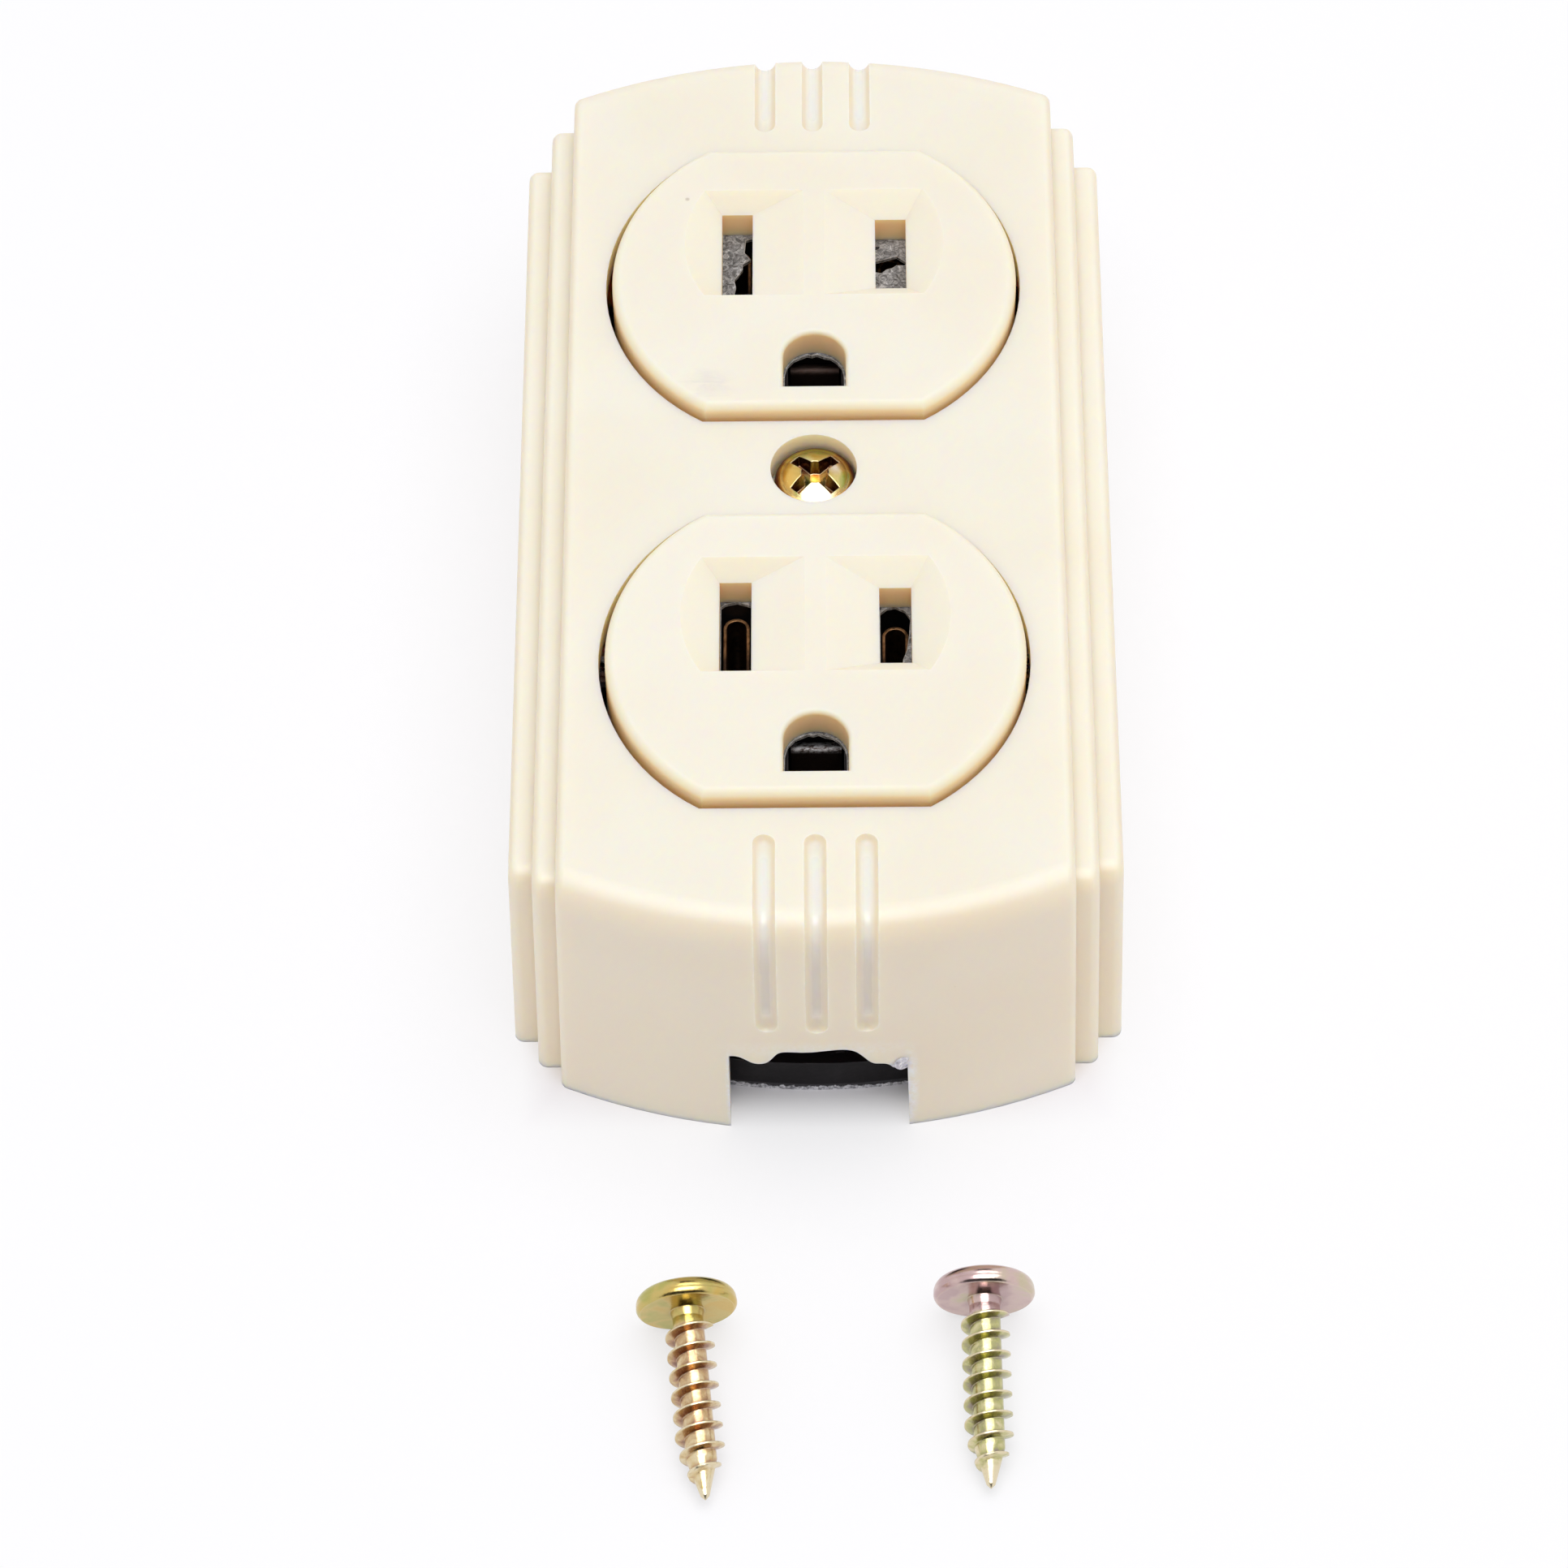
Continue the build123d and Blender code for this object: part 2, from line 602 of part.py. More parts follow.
with BuildPart() as base:
    with BuildSketch(Plane.XY.offset(sheet_thickness)):
        add(base_tail)
        Rectangle(plate_width, plate_length)
    extrude(amount=plate_thickness)
    # Blocks under the two faces, the web between them and the terminal decks at its sides.
    with BuildSketch(Plane.XY.offset(plate_top)):
        for face_y in face_centres:
            with Locations((0, face_y)):
                add(base_disc)
        Rectangle(web_width, web_length)
    extrude(amount=block_height - plate_top)
    with BuildSketch(Plane.XY.offset(plate_top)):
        Rectangle(2 * tongue_end, 2 * tongue_half_length)
    extrude(amount=bar_level - plate_top)
    with BuildSketch(Plane.XY.offset(plate_top)):
        with Locations((ground_terminal_x, ground_terminal_y)):
            Rectangle(clamp_size, clamp_size)
    extrude(amount=strap_level - plate_top)
    for width, length, centre, level in trenches:
        with BuildSketch(Plane.XY.offset(level)):
            with Locations(centre):
                Rectangle(width, length)
        extrude(amount=block_height - level, mode=Mode.SUBTRACT)
    # Barriers between neighbouring terminals stand on the decks.
    with BuildSketch(Plane.XY.offset(bar_level)):
        for side in (-1, 1):
            with Locations((side * terminal_x, 0)):
                Rectangle(clamp_size, barrier_thickness)
    extrude(amount=barrier_height)
    # Room under each tapped hole and under each rivet.
    with BuildSketch(Plane.XY.offset(bar_level)):
        with Locations(*live_terminals):
            Circle(terminal_shank_radius + end_room)
    extrude(amount=plate_top + end_room - bar_level, mode=Mode.SUBTRACT)
    with BuildSketch(Plane.XY.offset(strap_level)):
        with Locations((ground_terminal_x, ground_terminal_y)):
            Circle(terminal_shank_radius + end_room)
    extrude(amount=sheet_thickness - strap_level, mode=Mode.SUBTRACT)
    for level, places in ((bar_level, live_rivets), (strap_level, ground_rivets)):
        with BuildSketch(Plane.XY.offset(level)):
            with Locations(*places):
                Circle(rivet_recess_radius)
        extrude(amount=-rivet_head_height - loose_fit, mode=Mode.SUBTRACT)
    # Screws that hold the receptacle front, with their heads sunk in the back.
    with BuildSketch(Plane.XY.offset(sheet_thickness)):
        with Locations(*assembly_holes):
            Circle(assembly_shank_radius + loose_fit)
        with Locations(*mount_holes):
            Circle(mount_hole_radius)
    extrude(amount=block_height - sheet_thickness, mode=Mode.SUBTRACT)
    with BuildSketch(Plane.XY.offset(sheet_thickness)):
        with Locations(*assembly_holes):
            Circle(assembly_head_radius + loose_fit)
    extrude(amount=assembly_head_height + 2 * seat_gap, mode=Mode.SUBTRACT)
base.part.label = "base"
export_step(base.part, "parts/base.step")

with BuildPart() as assembly_screws:
    with BuildSketch(Plane.XY.offset(sheet_thickness + seat_gap)):
        with Locations(*assembly_holes):
            Circle(assembly_head_radius)
    extrude(amount=assembly_head_height)
    with BuildSketch(Plane.XY.offset(sheet_thickness + seat_gap)):
        with Locations(*assembly_holes):
            Circle(assembly_shank_radius)
    extrude(amount=assembly_screw_top - sheet_thickness - seat_gap)
assembly_screws.part.label = "assembly_screws"
export_step(assembly_screws.part, "parts/assembly_screws.step")


# --- Live bars and ground strap ------------------------------------------------------------
def live_bar(side):
    """Strip under two contacts with a notched tongue that carries two terminal screws."""
    with BuildPart() as bar:
        with BuildSketch(Plane.XY.offset(bar_level)):
            with Locations((side * bar_x, bar_middle)):
                Rectangle(bar_width, bar_ends[0] - bar_ends[1])
            with Locations((side * (bar_x + tongue_end) / 2, 0)):
                Rectangle(tongue_end - bar_x, 2 * tongue_half_length)
            with Locations((side * terminal_x, 0)):
                Rectangle(clamp_size + 2 * trench_clearance,
                          barrier_thickness + 2 * trench_clearance, mode=Mode.SUBTRACT)
            with Locations(*[(side * rivet_x, slot_y) for slot_y in slot_rows]):
                Circle(rivet_radius + running_fit, mode=Mode.SUBTRACT)
            with Locations((side * terminal_x, terminal_y), (side * terminal_x, -terminal_y)):
                Circle(terminal_shank_radius + running_fit, mode=Mode.SUBTRACT)
        extrude(amount=bar_thickness)
    return bar.part


for name, side in (("neutral_bar", -1), ("hot_bar", 1)):
    bar = live_bar(side)
    bar.label = name
    export_step(bar, f"parts/{name}.step")

with BuildPart() as ground_strap:
    with BuildSketch(Plane.XY.offset(strap_level)):
        with Locations((0, strap_middle)):
            Rectangle(strap_width, strap_ends[0] - strap_ends[1])
        with Locations((ground_terminal_x / 2, ground_rows[1])):
            Rectangle(-ground_terminal_x, strap_width)
        with Locations((ground_terminal_x, (branch_near + branch_far) / 2)):
            Rectangle(clamp_size, branch_far - branch_near)
        with Locations(*ground_rivets):
            Circle(rivet_radius + running_fit, mode=Mode.SUBTRACT)
        with Locations((ground_terminal_x, ground_terminal_y)):
            Circle(terminal_shank_radius + running_fit, mode=Mode.SUBTRACT)
    extrude(amount=bar_thickness)
ground_strap.part.label = "ground_strap"
export_step(ground_strap.part, "parts/ground_strap.step")


# --- Contacts ------------------------------------------------------------------------------
def blade_contact(side, length):
    """Hairpin of upright strip, bent at its far end, with a riveted foot on its outer side."""
    centre_x = (blade_throat + blade_strip) / 2
    bend_y = length / 2 - blade_strip / 2 - centre_x
    foot_z = bar_level + bar_thickness
    foot_reach = rivet_x + rivet_head_radius - live_x
    with BuildPart() as contact:
        with BuildSketch(Plane.XY.offset(foot_z)):
            with BuildLine():
                Line((-centre_x, -length / 2), (-centre_x, bend_y))
                ThreePointArc((-centre_x, bend_y), (0, bend_y + centre_x), (centre_x, bend_y))
                Line((centre_x, bend_y), (centre_x, -length / 2))
            trace(line_width=blade_strip)
        extrude(amount=blade_roof_level - blade_contact_drop - foot_z)
        with BuildSketch(Plane.XY.offset(foot_z)):
            with Locations((side * (centre_x + foot_reach) / 2, 0)):
                Rectangle(foot_reach - centre_x, 0.6 * length)
            with Locations((side * (rivet_x - live_x), 0)):
                Circle(rivet_radius + running_fit, mode=Mode.SUBTRACT)
        extrude(amount=blade_strip)
    return contact.part


def ground_contact():
    """Bent strip seen along X: foot, two leaves pinched at the throat, rolled lips."""
    foot_z = strap_level + bar_thickness + ground_strip / 2
    lip_z = ground_roof_level - ground_contact_drop
    near = (pin_throat + ground_strip) / 2
    side_points = [(near + ground_lip_reach, lip_z - 1.2), (near + ground_lip_reach - 0.1, lip_z),
                   (near + 0.1, lip_z), (near, lip_z - 2.4), (near + leaf_bow, lip_z - 6.0),
                   (near + leaf_bow, foot_z)]
    points = side_points + [(-y, z) for y, z in reversed(side_points)]
    with BuildPart() as contact:
        with BuildSketch(Plane.YZ):
            with BuildLine():
                FilletPolyline(*points, radius=ground_bend)
            trace(line_width=ground_strip)
        extrude(amount=ground_leaf_width / 2, both=True)
        with BuildSketch(Plane.XY.offset(strap_level + bar_thickness)):
            Circle(rivet_radius + running_fit)
        extrude(amount=ground_strip, mode=Mode.SUBTRACT)
    return contact.part


contact_kinds = {
    "neutral": (blade_contact(-1, neutral_hairpin_length), -live_x, slot_rows),
    "hot": (blade_contact(1, hot_hairpin_length), live_x, slot_rows),
    "ground": (ground_contact(), 0, ground_rows),
}
for kind, (contact, contact_x, rows) in contact_kinds.items():
    for row_name, row_y in zip(("upper", "lower"), rows):
        placed_contact = Pos(contact_x, row_y, 0) * contact
        placed_contact.label = f"{kind}_contact_{row_name}"
        export_step(placed_contact, f"parts/{kind}_contact_{row_name}.step")

with BuildPart() as contact_rivets:
    for level, strip, places in ((bar_level, blade_strip, live_rivets),
                                 (strap_level, ground_strip, ground_rivets)):
        grip = bar_thickness + strip
        for bottom, radius, length in ((level - rivet_head_height, rivet_head_radius,
                                        rivet_head_height),
                                       (level, rivet_radius, grip),
                                       (level + grip, rivet_head_radius, rivet_head_height)):
            with BuildSketch(Plane.XY.offset(bottom)):
                with Locations(*places):
                    Circle(radius)
            extrude(amount=length)
contact_rivets.part.label = "contact_rivets"
export_step(contact_rivets.part, "parts/contact_rivets.step")


# --- Contact housings and liners -----------------------------------------------------------
# Each outlet has a black housing with three wells that drops over its contacts, and a thin grey
# liner over each well. Plugs have pierced the liners: the upper outlet's holes are ragged tears,
# the lower outlet's are worn round at their far ends.
housing_bottom = block_height + seat_gap
blade_liner_level = blade_roof_level - liner_thickness - seat_gap
ground_liner_level = ground_roof_level - liner_thickness - seat_gap
neutral_tear = [(1.4, 4.1), (0.65, 3.85), (0.55, 2.5), (1.05, 1.7), (0.4, 1.2), (0.4, 0.65),
                (-0.05, -0.15), (-0.3, -0.55), (-0.15, -1.35), (-0.4, -2.6), (1.4, -2.6)]
hot_tear = [(-1.4, 1.35), (-0.7, 1.55), (-0.1, 1.75), (0.5, 1.95), (1.4, 1.2), (1.2, 0.95),
            (0.5, 0.95), (0.2, 0.7), (-0.35, 0.5), (-0.75, 0.1), (-1.4, 0.25)]
hot_nick = [(-1.4, 2.65), (-0.95, 2.75), (-0.85, 3.05), (-1.4, 3.1)]
neutral_wear = [(-1.2, 3.9), (-0.9, 4.2), (-0.4, 4.35), (0.1, 4.45), (0.7, 4.25), (1.2, 4.05),
                (1.2, -3.6), (-1.2, -3.6)]
hot_wear = [(-1.2, 3.2), (-0.65, 3.7), (0, 3.85), (0.8, 3.4), (1.2, 2.65), (1.1, 1.1),
            (0.9, -0.55), (0.6, -1.45), (0.4, -2.8), (-1.2, -2.8)]
ground_tear = [(-2.5, -3.1), (-2.45, 0.2), (-2.2, 1.15), (-1.7, 1.8), (-1.2, 2.05), (-0.6, 2.35),
               (-0.2, 2.25), (0.2, 2.4), (0.7, 2.15), (1.3, 2.0), (1.8, 1.6), (2.25, 0.9),
               (2.4, 0.2), (2.45, -3.1)]
liner_holes = {
    "upper": {-live_x: [neutral_tear], live_x: [hot_tear, hot_nick]},
    "lower": {-live_x: [neutral_wear], live_x: [hot_wear]},
}

for row_name, face_y, slot_y, ground_y in zip(liner_holes, face_centres, slot_rows, ground_rows):
    well_places = [(-live_x, slot_y), (live_x, slot_y)]
    with BuildPart() as contact_housing:
        with BuildSketch(Plane.XY.offset(housing_bottom)):
            with Locations((0, face_y)):
                add(flatted_disc(face_radius - front_wall - loose_fit,
                                 face_half_flat - front_wall - loose_fit))
            with Locations((-assembly_screw_x, face_y), (assembly_screw_x, face_y)):
                Circle(assembly_boss_radius + loose_fit, mode=Mode.SUBTRACT)
        extrude(amount=housing_floor)
        with BuildSketch(Plane.XY.offset(housing_bottom)):
            with Locations(*well_places):
                Rectangle(*blade_tower_size)
        extrude(amount=blade_liner_level - seat_gap - housing_bottom)
        with BuildSketch(Plane.XY.offset(housing_bottom)):
            with Locations((0, ground_y)):
                Rectangle(*ground_tower_size)
        extrude(amount=ground_liner_level - seat_gap - housing_bottom)
        with BuildSketch(Plane.XY.offset(housing_bottom)):
            with Locations(*well_places):
                Rectangle(blade_well_width, blade_well_length)
            with Locations((0, ground_y)):
                Rectangle(ground_well_width, ground_well_length)
        extrude(amount=ground_liner_level - housing_bottom, mode=Mode.SUBTRACT)
    contact_housing.part.label = f"contact_housing_{row_name}"
    export_step(contact_housing.part, f"parts/contact_housing_{row_name}.step")

    with BuildPart() as slot_liner:
        with BuildSketch(Plane.XY.offset(blade_liner_level)):
            with Locations(*well_places):
                Rectangle(*blade_tower_size)
            for hole_x, outlines in liner_holes[row_name].items():
                for outline in outlines:
                    with BuildLine(Pos(hole_x, slot_y)):
                        Polyline(*outline, close=True)
                    make_face(mode=Mode.SUBTRACT)
        extrude(amount=liner_thickness)
        with BuildSketch(Plane.XY.offset(ground_liner_level)):
            with Locations((0, ground_y)):
                Rectangle(*ground_tower_size)
            with BuildLine(Pos(0, ground_y)):
                Polyline(*ground_tear, close=True)
            make_face(mode=Mode.SUBTRACT)
        extrude(amount=liner_thickness)
    slot_liner.part.label = f"slot_liner_{row_name}"
    export_step(slot_liner.part, f"parts/slot_liner_{row_name}.step")


# --- Terminals -----------------------------------------------------------------------------
with BuildPart() as clamp_shape:
    with BuildSketch():
        RectangleRounded(clamp_size - loose_fit, clamp_size - loose_fit, clamp_corner_radius)
        Circle(terminal_shank_radius + running_fit, mode=Mode.SUBTRACT)
    extrude(amount=clamp_thickness)

with BuildPart() as terminal_screw_shape:
    add(domed_head(terminal_head_radius, terminal_head_height, terminal_crown))
    with BuildSketch():
        Circle(terminal_shank_radius)
    extrude(amount=-terminal_shank_length)
    with BuildSketch(Plane.XY.offset(terminal_head_height)):
        Rectangle(2 * terminal_head_radius, terminal_slot_width, rotation=terminal_slot_turn)
    extrude(amount=-terminal_slot_depth, mode=Mode.SUBTRACT)

terminal_places = {
    "neutral_upper": (-terminal_x, terminal_y, bar_level),
    "neutral_lower": (-terminal_x, -terminal_y, bar_level),
    "hot_upper": (terminal_x, terminal_y, bar_level),
    "hot_lower": (terminal_x, -terminal_y, bar_level),
    "ground": (ground_terminal_x, ground_terminal_y, strap_level),
}
for name, (place_x, place_y, level) in terminal_places.items():
    clamp_bottom = level + bar_thickness + seat_gap
    clamp = Pos(place_x, place_y, clamp_bottom) * clamp_shape.part
    clamp.label = f"{name}_clamp"
    export_step(clamp, f"parts/{name}_clamp.step")
    screw_seat = clamp_bottom + clamp_thickness + seat_gap
    screw = Pos(place_x, place_y, screw_seat) * terminal_screw_shape.part
    screw.label = f"{name}_terminal_screw"
    export_step(screw, f"parts/{name}_terminal_screw.step")


# --- Loose mounting screws -----------------------------------------------------------------
# Built with the head seat at Z = 0 and the tip towards +Z.
straight_length = mounting_length - mounting_tip_length
straight_turns = math.floor((straight_length - mounting_neck) / mounting_pitch)
thread_height = straight_turns * mounting_pitch
tip_thread_height = mounting_tip_turns * mounting_pitch
tip_slope = math.degrees(math.atan((mounting_root_radius - mounting_tip_radius) / mounting_tip_length))


def thread_profile(path):
    """Blunt ridge section set square to the start of a helix."""
    ridge = mounting_major_radius - mounting_root_radius
    with BuildSketch(Plane(origin=path @ 0, x_dir=(1, 0, 0), z_dir=path % 0)) as profile:
        with BuildLine():
            Polyline((-thread_burial, -thread_foot / 2), (-thread_burial, thread_foot / 2),
                     (ridge, thread_crest / 2), (ridge, -thread_crest / 2), close=True)
        make_face()
    return profile.sketch


mounting_cross = cross_recess(mounting_cross_length, mounting_cross_width,
                              min(cross_depth, mounting_head_height - head_floor))
straight_helix = Pos(0, 0, mounting_neck) * Helix(mounting_pitch, thread_height, mounting_root_radius)
tip_helix = Pos(0, 0, mounting_neck + thread_height) * Helix(
    mounting_pitch, tip_thread_height, mounting_root_radius, cone_angle=-tip_slope)

with BuildPart() as mounting_screw_shape:
    with BuildSketch(Plane.XZ):
        with BuildLine():
            Polyline((0, 0), (mounting_root_radius + 0.15, 0), (mounting_root_radius, 0.6),
                     (mounting_root_radius, straight_length),
                     (mounting_tip_radius, mounting_length - mounting_tip_radius),
                     (0, mounting_length), close=True)
        make_face()
    revolve(axis=Axis.Z)
    for helix in (straight_helix, tip_helix):
        sweep(thread_profile(helix), path=helix, is_frenet=True)
    # The thread tapers out towards the tip.
    with BuildSketch(Plane.XZ):
        with BuildLine():
            Polyline((0, 0), (mounting_major_radius, 0),
                     (mounting_major_radius, straight_length - 0.4),
                     (0.3, mounting_length), (0, mounting_length), close=True)
        make_face()
    revolve(axis=Axis.Z, mode=Mode.INTERSECT)
    add(Rot(180, 0, 0) * domed_head(mounting_head_radius, mounting_head_height, mounting_crown))
    add(Pos(0, 0, -mounting_head_height) * Rot(180, 0, 0) * mounting_cross, mode=Mode.SUBTRACT)

# Each one rests on the rim of its head and on its last full turn of thread.
lying_tilt = math.degrees(math.asin((mounting_head_radius - mounting_major_radius)
                                    / (straight_length - 0.5)))
rest_height = mounting_head_radius * math.cos(math.radians(lying_tilt)) + 0.02
for name, (seat_x, seat_y, heading) in mounting_seats.items():
    placed_screw = (Pos(seat_x, seat_y, rest_height) * Rot(0, 0, heading)
                    * Rot(90 + lying_tilt, 0, 0) * mounting_screw_shape.part)
    placed_screw.label = name
    export_step(placed_screw, f"parts/{name}.step")
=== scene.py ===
"""Finishes and lights the surface-mounted duplex outlet with its two loose mounting screws."""

import math

import bmesh
import bpy
from bpy.props import (
    FloatProperty,
    FloatVectorProperty,
    PointerProperty,
)
from mathutils import Matrix, Vector, noise


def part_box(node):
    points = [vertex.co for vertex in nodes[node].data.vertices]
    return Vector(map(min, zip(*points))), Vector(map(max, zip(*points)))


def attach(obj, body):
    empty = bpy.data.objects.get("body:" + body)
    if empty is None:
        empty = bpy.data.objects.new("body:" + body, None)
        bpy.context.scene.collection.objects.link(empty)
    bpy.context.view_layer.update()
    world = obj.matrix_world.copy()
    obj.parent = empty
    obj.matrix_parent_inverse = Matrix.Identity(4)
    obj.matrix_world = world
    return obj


bl_info = {
    "name": "Duplex Outlet Finisher",
    "version": (1, 0, 0),
    "blender": (4, 5, 0),
    "location": "View3D > Sidebar > Outlet",
    "description": "Moulded, plated and torn finishes for a surface-mounted duplex outlet",
    "category": "Object",
}

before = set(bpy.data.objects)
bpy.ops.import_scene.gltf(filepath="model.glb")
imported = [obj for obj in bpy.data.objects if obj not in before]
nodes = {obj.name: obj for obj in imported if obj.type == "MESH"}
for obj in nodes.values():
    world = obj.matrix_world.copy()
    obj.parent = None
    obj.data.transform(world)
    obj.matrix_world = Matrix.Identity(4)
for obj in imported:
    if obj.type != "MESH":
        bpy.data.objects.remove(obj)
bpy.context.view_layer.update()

TERMINALS = ("neutral_upper", "neutral_lower", "hot_upper", "hot_lower", "ground")
MM = 0.001
COVER_PLAY = 0.1 * MM  # the cover sits this far to the left of the faces
FLUTE_PITCH = 3.98 * MM
FLUTE_FOOT = 14.4 * MM
COVER_TOP = 27 * MM
FACE_TOP = 28.05 * MM
ENTRY_END = -45.4 * MM  # outside of the near wall, at the torn cable entry
HEAD_REACH = 3.7 * MM  # a loose screw's head and neck, from its far end
ROW_PITCH = 38.9 * MM
WHITE = (1.0, 1.0, 1.0)
NODE_SPACING = 180
SHRED_SIDES = 10
SHRED_FLATNESS = 0.55
SHRED_GRAIN = 2600  # waves of its rough surface in a metre
SHRED_RAGGED = 0.22  # how rough it is, as a share of its width
# Name, path and half widths of each shred, in millimetres.
SHREDS = (
    ("torn_shred_curl", ((7.15, -45.4, 9.6), (6.85, -45.55, 9.35), (6.5, -45.65, 8.9),
                         (6.2, -45.7, 8.4), (6.45, -45.7, 8.0), (6.9, -45.6, 7.95),
                         (7.15, -45.5, 8.3)),
     (0.22, 0.42, 0.48, 0.5, 0.36, 0.22, 0.1)),
    ("torn_shred_tip", ((5.5, -45.6, 8.65), (5.85, -45.7, 8.45), (6.2, -45.7, 8.25)),
     (0.12, 0.32, 0.3)),
)


# ---------------------------------------------------------------------------
# Settings


class OutletMoulding(bpy.types.PropertyGroup):
    """Colours and surface of the moulded plastic parts."""

    # Painted light and shade: the top and side tones are one plastic, paler where it faces up,
    # darker and yellower on the walls.
    ivory_painted_lit_top: FloatVectorProperty(
        name="Ivory top", description="Colour of the surfaces that face up, bleached a little",
        subtype="COLOR", size=3, min=0, max=1, default=(0.885, 0.842, 0.745))
    ivory_painted_shaded_side: FloatVectorProperty(
        name="Ivory side", description="Colour of the walls, which light has bleached less",
        subtype="COLOR", size=3, min=0, max=1, default=(0.860, 0.772, 0.632))
    ivory_flow: FloatVectorProperty(
        name="Ivory flow", description="Tint of the faint clouds that the moulding flow leaves",
        subtype="COLOR", size=3, min=0, max=1, default=(0.988, 0.972, 0.945))
    glow: FloatProperty(
        name="Glow", description="How deep light spreads inside the ivory plastic",
        subtype="DISTANCE", unit="LENGTH", min=0, default=1.8 * MM)
    # Painted shade and glow: the amber tone of gaps and holes, where little light reaches.
    ivory_painted_gap_glow: FloatVectorProperty(
        name="Ivory depth", description="Amber that the plastic turns to down in gaps and holes",
        subtype="COLOR", size=3, min=0, max=1, default=(0.98, 0.84, 0.58))
    ivory_roughness: FloatProperty(
        name="Ivory roughness", description="Roughness of the satin moulded surface",
        subtype="FACTOR", min=0, max=1, default=0.38)
    frayed: FloatVectorProperty(
        name="Frayed plastic", description="Whitened plastic along the torn cable entry",
        subtype="COLOR", size=3, min=0, max=1, default=(0.62, 0.60, 0.66))
    black: FloatVectorProperty(
        name="Black", description="Body colour of the base and the contact housings",
        subtype="COLOR", size=3, min=0, max=1, default=(0.0062, 0.0046, 0.0064))
    sheet: FloatVectorProperty(
        name="Back sheet", description="Colour of the insulating sheet under the base",
        subtype="COLOR", size=3, min=0, max=1, default=(0.022, 0.021, 0.025))
    liner: FloatVectorProperty(
        name="Liner", description="Colour of the thin liners behind the slots",
        subtype="COLOR", size=3, min=0, max=1, default=(0.33, 0.34, 0.36))


class OutletMetal(bpy.types.PropertyGroup):
    """Colours of the plated, chromated and bare metals."""

    zinc_gold: FloatVectorProperty(
        name="Zinc gold", description="Main tone of the yellow zinc",
        subtype="COLOR", size=3, min=0, max=1, default=(0.60, 0.42, 0.12))
    # Painted highlight: this pale tone lights the thread's crests and the metal's edges.
    zinc_painted_highlight: FloatVectorProperty(
        name="Zinc pale", description="Pale tone on the crests of the thread",
        subtype="COLOR", size=3, min=0, max=1, default=(0.76, 0.66, 0.46))
    zinc_green: FloatVectorProperty(
        name="Zinc green", description="Greenish sheen in the yellow zinc",
        subtype="COLOR", size=3, min=0, max=1, default=(0.36, 0.40, 0.11))
    zinc_rose: FloatVectorProperty(
        name="Zinc rose", description="Rose sheen in the yellow zinc",
        subtype="COLOR", size=3, min=0, max=1, default=(0.50, 0.31, 0.26))
    zinc_mauve: FloatVectorProperty(
        name="Zinc mauve", description="Mauve sheen where the zinc is thinnest",
        subtype="COLOR", size=3, min=0, max=1, default=(0.42, 0.31, 0.36))
    # Painted shade: the dark root and olive tones go down in the threads, the heads' corners and
    # the driver recess.
    zinc_painted_root_shade: FloatVectorProperty(
        name="Zinc root", description="Red-brown tone down in the thread and the driver recess",
        subtype="COLOR", size=3, min=0, max=1, default=(0.10, 0.026, 0.018))
    zinc_painted_olive_shade: FloatVectorProperty(
        name="Zinc olive", description="Dark olive tone down in the greener thread",
        subtype="COLOR", size=3, min=0, max=1, default=(0.055, 0.05, 0.018))
    copper: FloatVectorProperty(
        name="Copper", description="Colour of the sprung contacts",
        subtype="COLOR", size=3, min=0, max=1, default=(0.56, 0.29, 0.13))
    tarnish: FloatVectorProperty(
        name="Tarnish", description="Nearly black brown of the contacts, away from rubbed bends",
        subtype="COLOR", size=3, min=0, max=1, default=(0.035, 0.022, 0.018))
    brass: FloatVectorProperty(
        name="Brass", description="Colour of the hot bar, strap, nut and rivets",
        subtype="COLOR", size=3, min=0, max=1, default=(0.78, 0.60, 0.29))
    plated: FloatVectorProperty(
        name="Bright plating", description="Colour of the zinc plated and tinned metal",
        subtype="COLOR", size=3, min=0, max=1, default=(0.66, 0.67, 0.69))
    green: FloatVectorProperty(
        name="Green chromate", description="Colour of the ground screw",
        subtype="COLOR", size=3, min=0, max=1, default=(0.14, 0.40, 0.20))
    edge_round: FloatProperty(
        name="Edge rounding", description="Radius that catches the light along metal edges",
        subtype="DISTANCE", unit="LENGTH", min=0, default=0.12 * MM)


class OutletStage(bpy.types.PropertyGroup):
    """Floor, light and camera."""

    floor: FloatVectorProperty(
        name="Floor", description="Colour of the table",
        subtype="COLOR", size=3, min=0, max=1, default=(0.94, 0.932, 0.985))
    floor_white: FloatProperty(
        name="Floor white", description="How much of the open floor shows as plain white",
        subtype="FACTOR", min=0, max=1, default=0.62)
    sky: FloatProperty(
        name="Sky", description="Strength of the even light from all round",
        min=0, default=0.64)
    overhead_power: FloatProperty(
        name="Overhead lamp", description="Power of the large soft lamp above the outlet",
        unit="POWER", min=0, default=3.0)
    gleam_power: FloatProperty(
        name="Gleam lamp", description="Power of the lamp that only shows in glossy surfaces",
        unit="POWER", min=0, default=4.0)
    lens: FloatProperty(
        name="Lens", description="Focal length of the camera",
        subtype="DISTANCE_CAMERA", unit="CAMERA", min=1, default=142.31)
    stand: FloatVectorProperty(
        name="Camera place", description="Where the camera stands",
        subtype="TRANSLATION", unit="LENGTH", size=3,
        default=(2.649 * MM, -317.572 * MM, 415.329 * MM))
    turn: FloatVectorProperty(
        name="Camera turn", description="Tilt, roll and heading of the camera",
        subtype="EULER", unit="ROTATION", size=3,
        default=(math.radians(90 - 54.755), math.radians(-1.344), math.radians(1.076)))
    rise: FloatProperty(
        name="Camera rise", description="Upward shift of the picture plane",
        default=0.0765)


# ---------------------------------------------------------------------------
# Shader helpers


